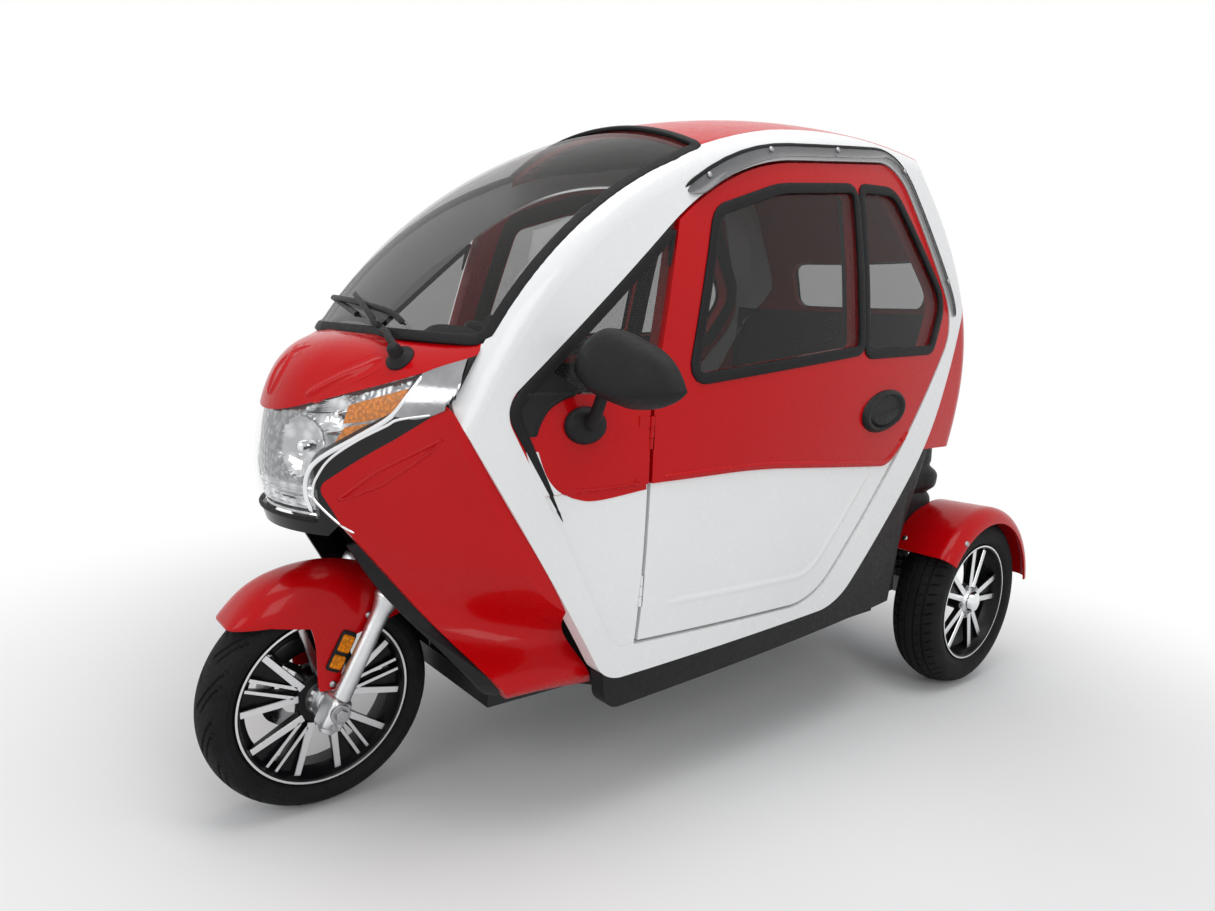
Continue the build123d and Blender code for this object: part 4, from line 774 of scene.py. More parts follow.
def beaded(tree, line, profile, count=70, closed=False, ends=0.02):
    """A profile carried along a picture line on a skin."""
    points = even(np.asarray(line), count, True) if closed else flowing(line, count)
    spots, normals = seen(tree, points)
    return carried(spots, eased(normals, closed), profile, closed, 1.0 if closed else tapered(count, ends))


lines = [beaded(nose, LENS_BORDER, oval(0.0045, 0.0035, 12)), beaded(nose, BAND_LINE, oval(0.0028, 0.0026, 12))]
foot_x = np.linspace(-0.130, 0.130, 120)
foot, foot_normals = cast(nose, np.column_stack((foot_x, np.full(120, -2.0), np.full(120, 0.5935))), (0, 1, 0))
foot_line = carried(foot, eased(foot_normals), oval(0.0045, 0.0035, 12), False, tapered(120, 0.02))
made("lamp_chrome_lines", mirrored(lines), "body", "lamp_chrome", CHROME)
made("lamp_foot", [foot_line], "body", "black_plastic", RUBBER)
spears = mirrored([sighted(nose, SPEAR, (40, 16), 0.0022, 0.005)])
made("lamp_spears", spears, "body", "lamp_chrome", DARK_CHROME)
turn_lenses = mirrored([sighted(lens, AMBER_TOP, (36, 12), -0.0062, 0.004),
                        sighted(lens, AMBER_LOW, (20, 8), -0.0062, 0.004)])
made("turn_lenses", turn_lenses, "body", "tail_lens", AMBER)
slits = mirrored([beaded(nose, SLIT, RIDGE * (0.45, 1.7), 120, True)])
made("fairing_slits", slits, "body", "red_paint", RED, **RING)
hood_ridges = mirrored([beaded(nose, line, RIDGE * (1.1, 1.9), 60, ends=0.12) for line in HOOD_LINES])
made("hood_ridges", hood_ridges, "body", "red_paint", RED)

# Lamp insert behind the clear lens: rows by height, columns across, pushed back into bowls and ribs
heights = np.linspace(0.600, 0.872, 76)
tries = np.linspace(0.002, 0.37, 185)
INWARD = unit(np.array((-0.3, 1.0, 0.0)))
rows = []
for height in heights:
    hits = [lens.ray_cast(Vector((x, -2.0, height)), Vector((0, 1, 0)))[0] for x in tries]
    reached = np.array([h is not None for h in hits])
    xs = np.linspace(tries[reached][0], tries[reached][-1] - 0.004, 72)
    ys = np.interp(xs, tries[reached], [h.y for h in hits if h is not None])
    rows.append(np.column_stack((xs, ys, np.full(72, height))))
front = np.array(rows)
main, small = (
    np.clip(1 - ((front[..., 0] - bowl[0]) / wide) ** 2 - ((front[..., 2] - bowl[2]) / tall) ** 2, 0, 1)
    for bowl, wide, tall in ((BOWL, 0.046, 0.054), (SMALL_BOWL, 0.036, 0.034)))
ribs = (1 - smooth(front[..., 2], 0.648, 0.656)) * (1 + np.sin(2 * np.pi * front[..., 2] / 0.009))
depth = 0.0095 + 0.022 * main**0.55 + 0.016 * small**0.55 + 0.0022 * ribs
insert = front + depth[..., None] * INWARD
dark = ((main <= 0) & (small <= 0) & (front[..., 2] > 0.652)).astype(int)
insert = np.concatenate((insert, (insert + 0.003 * INWARD)[:, ::-1]), 1)
dark = np.concatenate((dark, dark[:, ::-1]), 1)
made("lamp_insert", mirrored([insert]), "body", "lamp_chrome", REFLECTOR, RIBBED, replaces=("headlamp_housing",),
     caps=False, crisp=40.0, bands=[dark, dark])
BULB = np.array(((0.0, 0.5), (0.2, 1.0), (0.9, 1.0), (1.4, 0.92), (1.7, 0.6), (1.8, 0.1)))
bulbs = [stud(BOWL + 0.028 * INWARD, -INWARD, BULB * 0.010), stud(SMALL_BOWL + 0.022 * INWARD, -INWARD, BULB * 0.007)]
made("lamp_bulbs", mirrored(bulbs), "body", "lamp_chrome", CHROME)

# Front quarters: black gusset over the red corner, white corner and red lip below it, after the photo's outlines
QUARTER_GUSSET = (((521, 438), (516, 424), (516, 404), (522, 384), (537, 362)),
                  ((535, 437), (539, 424), (548, 409), (562, 399), (583, 391)))
QUARTER_CORNER = (((526, 452), (531, 470), (538, 488), (549, 508), (566, 512)),
                  ((538, 452), (543, 468), (549, 481), (559, 492), (573, 499)))
QUARTER_LIP = (((556, 488), (578, 489), (612, 486), (651, 481)), ((558, 491), (575, 499), (598, 500.5), (651, 488)))
quarter = skin("quarter_panels", "quarter_skins", "quarter_glass")
gussets = mirrored([sighted(quarter, QUARTER_GUSSET, (40, 12), 0.0016, 0.004)])
made("quarter_gussets", gussets, "body", "black_plastic", BLACK_PLASTIC)
gusset_piping = mirrored([beaded(quarter, QUARTER_GUSSET[1], oval(0.0035, 0.0035, 12), 60, ends=0.06)])
made("gusset_piping", gusset_piping, "body", "black_plastic", RUBBER)
corners = mirrored([sighted(quarter, QUARTER_CORNER, (40, 12), 0.0010, 0.003)])
made("quarter_corners", corners, "body", "white_paint", WHITE)
lips = mirrored([sighted(quarter, QUARTER_LIP, (40, 8), 0.0010, 0.003)])
made("quarter_lips", lips, "body", "red_paint", RED)

# Wiper
wiped = skin("windshield", "hood", "roof_panel")
base, base_normal = (a[0] for a in seen(skin("hood", "windshield"), [(400.0, 358.0)]))
arm, arm_normals = seen(wiped, flowing(((399, 354), (391, 344), (386, 332), (372, 312), (359, 297)), 40))
rise = 0.010 + 0.012 * np.sin(np.pi * np.linspace(0.0, 1.0, 40)) ** 0.7
blade, blade_normals = seen(wiped, flowing(((332, 299), (357, 304), (393, 315), (407, 326)), 50))
blade_normals = eased(blade_normals)
PIVOT_ROWS = MM * np.array(((0, 26), (6, 25), (16, 13), (30, 11), (34, 8), (35, 2)))
wiper = [stud(base - 0.004 * base_normal, base_normal, PIVOT_ROWS),
         carried(arm + rise[:, None] * eased(arm_normals), eased(arm_normals), oval(0.0058, 0.0038, 12, 3.0), False,
                 np.linspace(1.2, 0.8, 40)),
         carried(blade + 0.009 * blade_normals, blade_normals, oval(0.0055, 0.0042, 12, 3.0), False, tapered(50, 0.04)),
         carried(blade + 0.003 * blade_normals, blade_normals, oval(0.0018, 0.0042, 8), False, tapered(50, 0.02))]
made("wiper", wiper, "body", "black_plastic", BLACK_PLASTIC)

# Mirrors: a shell lofted through ovals, flat behind where the glass sits, on a bent stalk and an oval foot
# Each row: X, station, depth, then the heights of the low edge, the ridge and the top
MIRROR_ROWS = ((396, 285, 12, 884, 886, 889), (416, 286, 44, 868, 880, 916), (440, 286, 66, 852, 871, 938),
               (471, 288, 80, 839, 860, 953), (513, 291, 84, 831, 855, 949), (540, 293, 80, 829, 852, 941),
               (580, 298, 70, 834, 856, 926), (606, 303, 54, 843, 859, 907), (622, 307, 36, 853, 862, 887),
               (634, 310, 10, 864, 865, 868))
turn = np.linspace(0, 2 * np.pi, 48, endpoint=False)
power = np.where(np.sin(turn) >= 0, 2 / 2.3, 2 / 1.35)
across_ring = np.sign(np.cos(turn)) * abs(np.cos(turn)) ** power
up_ring = np.sign(np.sin(turn)) * abs(np.sin(turn)) ** power
across_ring = np.where(across_ring > 0.30, 0.30 + 0.10 * (across_ring - 0.30), across_ring)
shell, glass = [], []
for x, station, deep, low, ridge, high in flowing(MIRROR_ROWS, 48):
    z = ridge + np.where(up_ring > 0, (high - ridge) * up_ring, (ridge - low) * up_ring)
    shell.append(np.column_stack((np.full(48, x), station + across_ring * deep / 2, z)))
    level = np.linspace(ridge - 0.4 * (ridge - low), ridge + 0.82 * (high - ridge), 24)
    glass.append(np.column_stack((np.full(24, x), np.full(24, station + 0.17 * deep), level)))
glass = at(np.array(glass[6:-6]))
stalk = at(flowing(((404, 309, 788), (424, 306, 800), (446, 301, 834), (462, 296, 864), (474, 294, 884)), 36))
stalk_size = np.interp(np.linspace(0, 1, 36), (0, 0.3, 1), (1.35, 1.0, 0.9))
stalk_grid = carried(stalk, (0, -1.0, 0), oval(0.012, 0.010, 18), False, stalk_size)
foot_spot, foot_normal = (a[0] for a in on_side(skin("quarter_panels", "quarter_skins"), [(309, 785)], 1))
foot_path = foot_spot + np.array((-0.004, 0.004, 0.010, 0.015, 0.017))[:, None] * foot_normal
foot = carried(foot_path, (0, 0, 1.0), oval(0.042, 0.033, 36), False, np.array((1.0, 1.0, 0.93, 0.78, 0.5)))
mirror_grids = mirrored([at(np.array(shell)), stalk_grid, foot])
made("mirror_shells", mirror_grids, "body", "black_plastic", BLACK_PLASTIC, replaces=("mirrors",), crisp=50.0)
mirror_glass = slab(glass, np.broadcast_to((0, 1.0, 0), glass.shape), 0.0015, 0.003)
made("mirror_glass", mirrored([mirror_glass]), "body", "lamp_chrome", CHROME)
foot_screws = [stud(foot_spot + np.array((0.009, y, z)), foot_normal, DOME * 0.006)
               for y, z in ((-0.024, -0.008), (0.024, 0.008))]
made("mirror_screws", mirrored(foot_screws), "body", "axle_steel", STEEL)

# Door handles: a dished oval with a raised rim and a paddle in its lower half
HANDLE_TILT = np.radians(12.0)
for side, name in SIDES:
    low, high = (np.array(c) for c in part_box(f"door_handle_{name}"))
    middle = (low + high) / 2
    wide, tall = (high - low)[1:] / 2 + 0.004
    t = np.linspace(0.02, 1, 26)[:, None]
    angle = np.linspace(0, 2 * np.pi, 72, endpoint=False)[None]
    u, v = t * np.cos(angle), t * np.sin(angle)
    rim = np.clip(1 - ((t - 0.86) / 0.14) ** 2, 0, 1)
    paddle = smooth(-v, 0.02, 0.14) * (1 - smooth(t, 0.62, 0.70))
    level = 0.0065 * rim - 0.001 * (t < 0.72) + 0.0065 * paddle * (0.75 + 0.25 * smooth(-v, 0.1, 0.6))
    level, u, v = (np.broadcast_to(a, (26, 72)) for a in (level, u, v))
    y = wide * u * np.cos(HANDLE_TILT) - tall * v * np.sin(HANDLE_TILT)
    z = wide * u * np.sin(HANDLE_TILT) + tall * v * np.cos(HANDLE_TILT)
    flat = np.stack((np.full((26, 72), side * 0.9), middle[1] + y, middle[2] + z), -1).reshape(-1, 3)
    base = cast(skin(f"door_panel_{name}", f"door_handle_{name}"), flat, (-side, 0, 0))[0].reshape(26, 72, 3)
    base[..., 0] = side * np.maximum(side * base[..., 0], side * base[-1, :, 0].mean() - 0.001)
    face = base + np.stack((side * (level + 0.0015), 0 * y, 0 * z), -1)
    back = base - (side * 0.006, 0, 0)
    grid = np.concatenate((face, back[::-1]))
    made(f"handle_{name}", [grid], f"door_{name}", "black_plastic", BLACK_PLASTIC, replaces=(f"door_handle_{name}",),
         crisp=40.0)


# Fork, brake and front fender

FORK_OFFSET = 0.035
LEG_HALF = 0.093


def fork_point(x, rise):
    """Point on a fork leg's line: across from the middle plane, and up along the steering axis."""
    lift = FORK_OFFSET * np.array((0.0, np.sin(RAKE) ** 2 / np.cos(RAKE), np.sin(RAKE)))
    return FRONT_HUB + lift + rise * STEER_AXIS + np.array((x, 0, 0))


LEG_ROWS = MM * np.array(((-62, 10), (-61, 13), (-56, 16.5), (-20, 17.5), (60, 16.8), (140, 16.4), (178, 17.6),
                          (192, 21), (202, 24), (236, 24.6), (241, 24), (245, 21)))
COLLAR_ROWS = MM * np.array(((205, 25.9), (206, 26.3), (211, 26.3), (212, 25.9)))
DUST_ROWS = MM * np.array(((244, 21.0), (246, 21.0), (249, 19.6), (254, 18.4), (256, 16.4)))
SPACER_ROWS = MM * np.array(((0.5, 9), (0.5, 17), (6, 18), (7, 21), (12, 21), (13, 18), (19, 16), (19, 9)))
leg_grids, dark_grids, bright_grids, bolt_grids = [], [], [], []
for x in (LEG_HALF, -LEG_HALF):
    side = np.sign(x)
    leg_grids += [stud(fork_point(x, 0), STEER_AXIS, LEG_ROWS, 40), stud(fork_point(x, 0), STEER_AXIS, COLLAR_ROWS, 40)]
    leg_foot = FRONT_HUB + (side * 0.0725, 0, 0) - 0.006 * STEER_AXIS
    leg_grids += [badge(leg_foot, (side, 0, 0), STEER_AXIS, (0.0215, 0.032), 0.043, 0.0, 7.0)]
    dark_grids += [stud(fork_point(x, 0), STEER_AXIS, DUST_ROWS, 40)]
    bright_grids += [stud(FRONT_HUB + (side * 0.052, 0, 0), (side, 0, 0), SPACER_ROWS, 40)]
    bolt_grids += bolts([FRONT_HUB + (side * 0.1155, 0, 0)], [np.array((side, 0, 0))], 0.0125)
    bolt_grids += bolts([fork_point(x + side * 0.0195, -0.044)], [np.array((side, 0, 0))], 0.0065)
made("fork_castings", leg_grids, "steering", "fork_alloy", ALLOY, replaces=("fork_legs",))
made("fork_dust_seals", dark_grids, "steering", "black_plastic", RUBBER)
made("axle_spacers", bright_grids, "steering", "fork_chrome", CHROME)
made("fork_bolts", bolt_grids, "steering", "axle_steel", STEEL)

# Brake disc with a waved rim, its carrier, drilled holes drawn as flat black discs of painted shade, and caliper
DISC_FACES = (-0.0525, -0.0565)
HOLE_SHADE_ROWS = MM * np.array(((-0.5, 3.1), (0.1, 3.1), (0.15, 2.6), (-0.3, 0.6)))
disc_turn = np.linspace(0, 2 * np.pi, 200, endpoint=False)
wave = 0.0016 * np.cos(10 * disc_turn)
edge, inner = 0.0982 + wave, 0.066 - wave
ring_r = np.stack((inner, edge, edge, inner), -1)
disc = turned(np.stack(np.broadcast_arrays(np.repeat(DISC_FACES, 2), ring_r), -1), FRONT_HUB, disc_turn)
made("brake_disc", [disc], "front_wheel", "axle_steel", DARK_CHROME, replaces=("front_disc",), **RING)
arms = [bar_grid(polar(0.030, a), polar(0.070, a + 14), -0.0522, (0.0075, 0.0055), 0.0042) + FRONT_HUB
        for a in np.arange(6) * 60.0]
# The drilled holes are not cut: flat black discs on both faces are painted shade where the holes are.
hole_shade_discs = []
for k in range(30):
    y, z = polar((0.074, 0.082, 0.090)[k % 3], k * 12.0)
    hole_shade_discs += [stud(FRONT_HUB + (x, y, z), (way, 0, 0), HOLE_SHADE_ROWS, 10) for x, way in zip(DISC_FACES, (1, -1))]
made("disc_carrier", arms, "front_wheel", "frame_paint", BLACK_METAL)
made("disc_hole_shade_discs", hole_shade_discs, "front_wheel", "black_plastic", BLACK_PLASTIC)

sweep_angle = np.radians(np.linspace(88, 138, 28))
swept = np.stack((np.zeros(28), np.cos(sweep_angle), np.sin(sweep_angle)), -1)
caliper = []
for x, radius, profile in ((-0.0665, 0.088, oval(0.021, 0.0075, 20, 3.5)),
                           (-0.0430, 0.088, oval(0.019, 0.0075, 20, 3.5)),
                           (-0.0548, 0.110, oval(0.0052, 0.0190, 20, 3.5))):
    caliper.append(carried(FRONT_HUB + (x, 0, 0) + radius * swept, (1.0, 0, 0), profile, False, tapered(28, 0.12)))
bracket = np.linspace(fork_point(-LEG_HALF + 0.010, 0.075), FRONT_HUB + (-0.0735, 0.0, 0.094), 12)
caliper.append(carried(bracket, (1.0, 0, 0), oval(0.012, 0.005, 14, 3.0)))
made("brake_caliper", caliper, "steering", "frame_paint", BLACK_METAL)

FENDER_HALF = 0.0718
FENDER_TOP = 0.262
FENDER_EDGE = np.array(((0.166, 0.165), (0.045, 0.131), (-0.035, 0.156), (-0.110, 0.170), (-0.175, 0.168)))
edge_line = even(FENDER_EDGE, 90)
edge_turn = np.arctan2(edge_line[:, 1], edge_line[:, 0])
edge_r = np.linalg.norm(edge_line, axis=1)
to_front = np.clip((np.linspace(0, 1, 90) - 0.66) / 0.34, 0, 1)
to_rear = np.clip((0.25 - np.linspace(0, 1, 90)) / 0.25, 0, 1)
closing = np.sqrt(np.clip(1 - to_front**2.2, 0, 1))
fender_half = FENDER_HALF * (0.42 + 0.58 * closing) * (1 - 0.10 * to_rear)
fender_rise = np.maximum((FENDER_TOP - edge_r) * closing, 0.0005)


def fender_sheet(inset):
    """Fender wall: at each turn about the axle, a superellipse arch from edge to edge over the tyre, less an inset."""
    t = np.linspace(0, np.pi, 61)[None]
    power = 2 / 2.7
    half = fender_half[:, None] - inset
    rise = fender_rise[:, None] * (1 - inset / 0.03)
    x = half * np.sign(np.cos(t)) * abs(np.cos(t)) ** power
    r = edge_r[:, None] + rise * np.sin(t) ** power
    return FRONT_HUB + np.stack((x, r * np.cos(edge_turn)[:, None], r * np.sin(edge_turn)[:, None]), -1)


fender_wall = np.concatenate((fender_sheet(0.0), fender_sheet(0.0035)[:, ::-1]), 1)
STAY = np.array(((-0.040, 0.160), (-0.030, 0.120), (-0.024, 0.040), (-0.016, 0.031), (0.006, 0.031),
                 (0.012, 0.040), (0.030, 0.095), (0.050, 0.140)))
stay_front, stay_back = flowing(STAY[:4], 24), flowing(STAY[:3:-1], 24)
stay_flat = between(stay_front, stay_back, 12)
stay = FRONT_HUB + np.concatenate((np.full((24, 12, 1), FENDER_HALF), stay_flat), -1)
stays = mirrored([slab(stay, np.broadcast_to((1.0, 0, 0), stay.shape), 0.0, 0.004)])
made("front_mudguard", [fender_wall] + stays, "steering", "red_paint", RED, replaces=("front_fender",), crisp=50.0)
fender = skin("front_fender")
spots = seen(fender, ((369, 615), (333, 684)))[0]
heads = [stud(s, (1.0, 0, 0), DOME * 0.007) for s in spots]
made("fender_screws", mirrored(heads), "steering", "axle_steel", STEEL)
REFLECTOR_SPOT = seen(fender, [(341.0, 651)])[0][0]
bezels = [badge(REFLECTOR_SPOT, (1, 0, 0), STEER_AXIS, (0.0155, 0.040), 0.007, power=8.0)]
ambers = [badge(REFLECTOR_SPOT + lift * STEER_AXIS + (0.0055, 0, 0), (1, 0, 0), STEER_AXIS, (0.0122, tall), 0.0045,
                power=8.0) for lift, tall in ((0.0165, 0.0165), (-0.0200, 0.0130))]
made("reflector_bezels", mirrored(bezels), "steering", "black_plastic", BLACK_PLASTIC)
made("side_reflectors", mirrored(ambers), "steering", "tail_lens", AMBER)

# Rear wheels, fenders, dampers and tail

CAP_ROWS = MM * np.array(((40, 28), (51, 31), (54, 30), (62, 27), (66, 20), (67.5, 8), (67.6, 1)))
for side, name in SIDES:
    hub_at = REAR_HUB * (side, 1, 1)
    cap = [stud(hub_at, (side, 0, 0), CAP_ROWS, 40)]
    made(f"hub_cap_{name}", cap, f"rear_wheel_{name}", "fork_chrome", CHROME)
    spots = [hub_at + (side * 0.0405, *polar(0.0425, a)) for a in np.arange(5) * 72.0 + 44.0]
    nuts = bolts(spots, [np.array((side, 0, 0))] * 5, 0.0062)
    made(f"lug_nuts_{name}", nuts, f"rear_wheel_{name}", "axle_steel", STEEL)

rear_fender = skin("rear_fenders")
spots, normals = seen(rear_fender, ((967, 544), (905, 538)))
made("rear_fender_screws", mirrored([stud(s, n, DOME * 0.008) for s, n in zip(spots, normals)]), "body", "axle_steel",
     STEEL)

t = np.linspace(0, 1, 260)
COIL_X, COIL_R, COIL_TURNS = 0.268, 0.0225, 8
coil_y = at([(0, 1618, 0)])[0, 1]
coil_turn = 2 * np.pi * COIL_TURNS * t
coil = np.column_stack((COIL_X + COIL_R * np.cos(coil_turn), coil_y + COIL_R * np.sin(coil_turn), 0.300 + 0.192 * t))
middle_line = coil * (0, 0, 1) + (COIL_X, coil_y, 0)
made("damper_springs", mirrored([carried(coil, unit(coil - middle_line), oval(0.0036, 0.0036, 10))]), "body",
     "frame_paint", BLACK_METAL)

RIB_ROWS = np.array(((441, 0), (446, 6), (470, 9), (515, 9), (532, 4), (541, -3), (550, 6), (562, 18), (590, 21),
                     (604, 14), (615, 0), (622, -4), (632, -1), (660, -2), (692, -4), (699, -9)), float)
rib_line = flowing(RIB_ROWS, 60)
corner = np.linspace(0, np.pi / 2, 24)
plan_y = np.concatenate((np.linspace(1470, 1640, 20), 1640 + 80 * np.sin(corner), np.full(16, 1720.0)))
plan_x = np.concatenate((np.full(20, 300.0), 220 + 80 * np.cos(corner), 220 * np.linspace(0.96, 0, 16)))
plan = np.column_stack((plan_x, plan_y))
plan = np.concatenate((plan, plan[-2::-1] * (-1, 1)))
plan_way = unit(np.gradient(plan, axis=0))
plan_out = np.stack((plan_way[:, 1], -plan_way[:, 0]), -1)
share = smooth(plan[:, 1], 1560, 1700)[:, None]


def tail_sheet(inset):
    """Tail wall: the plan line moved out by the rib line, full at the back and faded along the sides, less an inset."""
    push = rib_line[None, :, 1] * (0.25 + 0.75 * share) - 6 * (1 - share) - inset
    flat = plan[:, None] + push[..., None] * plan_out[:, None]
    return at(np.concatenate((flat, np.broadcast_to(rib_line[None, :, :1], (*flat.shape[:2], 1))), -1))


tail = np.concatenate((tail_sheet(0.0), tail_sheet(9.0)[:, ::-1]), 1)
fin_run = np.linspace(-0.080, 0.080, 129)
fin_rise = 0.0862 + 0.0058 * (0.5 + 0.5 * np.cos(2 * np.pi * fin_run / 0.0125)) ** 0.5
FIN_END = np.array(((0.0855, 0.080),))
fins = np.concatenate((FIN_END * (-1, 1), np.column_stack((fin_run, fin_rise)), FIN_END))
motor = turned(fins, REAR_HUB * (0, 1, 1), np.linspace(0, 2 * np.pi, 96, endpoint=False))
made("motor_fins", [motor], "body", "axle_steel", STEEL, **RING)
lid_stations = np.linspace(1472, 1712, 36)
lid_half = np.interp(lid_stations, (1640, 1660, 1680, 1700, 1712), (286, 282, 274, 256, 228))
lid_across = np.linspace(-1, 1, 40)
lid = np.stack((lid_half[:, None] * lid_across, np.broadcast_to(lid_stations[:, None], (36, 40)),
                np.broadcast_to(684 + 9 * np.cos(0.5 * np.pi * lid_across**3), (36, 40))), -1)
lid = slab(at(lid), np.broadcast_to((0, 0, 1.0), lid.shape), 0.0, 0.005)
made("tail_lid", [lid], "body", "black_plastic", BLACK_PLASTIC)
made("tail_wall", [tail], "body", "black_plastic", BLACK_PLASTIC, replaces=("rear_bumper",))

# Handlebar grips and levers, instrument pod

bar_points = np.array([v.co for v in NODES["handlebar"].data.vertices])
tip = bar_points[bar_points[:, 0] > bar_points[:, 0].max() - 0.10]
grip_middle = (tip.max(0) + tip.min(0)) / 2
grip_way = np.linalg.svd(tip - tip.mean(0), full_matrices=False)[2][0]
grip_way = grip_way * np.sign(grip_way[0])
s = np.linspace(-1, 1, 90)
grip_rows = np.column_stack((0.056 * s, 0.0168 + 0.0009 * np.cos(2 * np.pi * 9 * s) + 0.005 * smooth(-s, 0.90, 0.94)
                             - 0.006 * smooth(s, 0.96, 1.0)))
grips = [stud(grip_middle, grip_way, grip_rows, 28)]
made("grips", mirrored(grips), "steering", "black_plastic", RUBBER)
lever_start = grip_middle - 0.092 * grip_way
LEVER_BENDS = np.array(((0, 0, 0), (0.005, -0.014, -0.004), (0.022, -0.020, -0.010), (0.046, -0.016, -0.016)))
CLAMP_ROWS = MM * np.array(((0, 13), (0, 18), (3, 20), (25, 20), (28, 18), (28, 13)))
lever_path = flowing(lever_start + LEVER_BENDS, 40)
levers = [carried(lever_path, (0, 0, 1.0), oval(0.007, 0.004, 14, 2.6), False, tapered(40, 0.05)),
          stud(lever_start - 0.014 * grip_way, grip_way, CLAMP_ROWS, 30)]
made("brake_levers", mirrored(levers), "steering", "fork_alloy", ALLOY)
POD_WAY = np.array((0.0, 0.62, 0.78))
pod_spot = at([(0, 285, 880)])[0]
pods = [badge(pod_spot, POD_WAY, (0, -0.78, 0.62), (0.125, 0.062), 0.036, 0.02, 3.0)]
made("instrument_pod", pods, "body", "black_plastic", BLACK_PLASTIC)
screens = [badge(pod_spot + 0.0345 * POD_WAY, POD_WAY, (0, -0.78, 0.62), (0.092, 0.040), 0.004, 0.002, 5.0)]
made("instrument_screen", screens, "body", "gloss_black", BLACK_GLOSS)

# Tail: window seal, lamp rims with lenses and two round reflectors

tail_skin = skin("tail_body", "rear_window", "tail_lamps", "roof_panel")


def behind(rows):
    """Points across and up, in metres, on the tail as seen from behind."""
    rows = np.asarray(rows, float)
    return cast(tail_skin, np.column_stack((rows[:, 0], np.full(len(rows), 2.5), rows[:, 1])), (0, -1, 0))


def boxed(x, z, wide, tall, corner, count):
    """Rounded rectangle about a middle, all in millimetres, as points in metres."""
    rows = [(x + i * wide, z + j * tall, corner) for i, j in ((-1, -1), (1, -1), (1, 1), (-1, 1))]
    return MM * rounded(rows, count)


spots, normals = behind(boxed(0, 1127.5, 234, 73.5, 44, 240))
window_seal = carried(spots, eased(normals, True), oval(0.010, 0.005, 14, 3.0), True)
made("rear_window_seal", [window_seal], "body", "black_plastic", RUBBER, **RING)
rims, lenses = [], []
for side in (1, -1):
    spots, normals = behind(boxed(side * 270.0, 800.0, 38.0, 78.0, 31.0, 120))
    rims.append(carried(spots, eased(normals, True), oval(0.006, 0.006, 12, 3.0), True))
    for drop, tall in ((33.0, 36.0), (-39.0, 30.0)):
        spots, normals = behind(MM * np.array([(side * 270.0, 800.0 + drop)]))
        lenses.append(badge(spots[0], normals[0], (0, 0, 1), (MM * 29.4, MM * tall), 0.010, 0.006, 5.0))
made("tail_lamp_rims", rims, "body", "lamp_chrome", DARK_CHROME, **RING)
made("tail_lenses", lenses, "body", "tail_lens", TAIL_LENS)
round_ones = [badge(at(np.array((x, 1722.0, 480.0))), (0, 1, 0), (0, 0, 1), (0.026, 0.026), 0.010, 0.012, 2.0)
              for x in (-180.0, 180.0)]
made("rear_reflectors", round_ones, "body", "tail_lens", TAIL_LENS)

# Inside, seen through the glass: door cards, window liners, roof and tail linings

for side, name in SIDES:
    card_top = np.linspace((490.0, 846.0), (1330.0, 846.0), 40)
    card_foot = np.linspace((500.0, 420.0), (1120.0, 420.0), 40)
    rows = between(card_top, card_foot, 24)
    starts = at(np.column_stack((np.zeros(960), rows.reshape(-1, 2))))
    spots = cast(skin(f"door_panel_{name}", f"door_skin_{name}"), starts, (side, 0, 0))[0].reshape(40, 24, 3)
    inward = np.broadcast_to((-1.0 * side, 0, 0), spots.shape)
    rest = np.exp(-(((np.arange(24) - 6) / 2.2) ** 2))[None, :, None] * (0.026, 0, 0) * -side
    card = slab(spots + rest, inward, 0.005, 0.004)
    frames = []
    for outline in (DOOR_WINDOW, REAR_PANE):
        path = grown(rounded(outline, 170), 24.0)
        starts = at(np.column_stack((np.zeros(len(path)), path)))
        spots, normals = cast(skin(f"door_panel_{name}", f"door_skin_{name}"), starts, (side, 0, 0))
        frames.append(carried(spots, eased(normals, True), oval(0.021, 0.0025, 14, 3.0), True))
    made(f"window_liners_{name}", frames, f"door_{name}", "black_plastic", BLACK_PLASTIC, **RING)
    made(f"door_card_{name}", [card], f"door_{name}", "black_plastic", BLACK_PLASTIC)
lining_rows = between(np.linspace((-1.0, 640.0), (1.0, 640.0), 40), np.linspace((-1.0, 1330.0), (1.0, 1330.0), 40),
                      40)
lining_half = np.interp(lining_rows[..., 1:], (600, 850, 1720), (300, 262, 255))
lining_rows = lining_rows * lining_half ** (1, 0)
starts = at(np.column_stack((lining_rows.reshape(-1, 2), np.full(1600, 1000.0))))
spots = cast(skin("roof_panel"), starts, (0, 0, 1))[0].reshape(40, 40, 3)
lining = slab(spots, np.broadcast_to((0, 0, -1.0), spots.shape), 0.004, 0.003)
turn = np.radians(np.linspace(-44, 44, 60))
ways = np.stack((np.sin(turn), np.cos(turn), 0 * turn), -1)
levels = np.linspace(704.0, 1046.0, 24)
starts = at(np.column_stack((0 * levels, 0 * levels + 1150, levels)))
cabin = skin("tail_body", "side_frame_left", "side_frame_right")
rows = np.array([cast(cabin, starts, way)[0] for way in ways])
met = (abs(rows[..., 2] - MM * levels) < MM).all(1)
inward = np.broadcast_to(-ways[met, None], rows[met].shape)
walls = [slab(rows[met], inward, 0.004, 0.003)]
made("tail_lining", walls, "body", "black_plastic", BLACK_PLASTIC)
made("roof_lining", [lining], "body", "black_plastic", BLACK_PLASTIC)

# Seats: pads blown up as cloth, then sewn channels pressed in


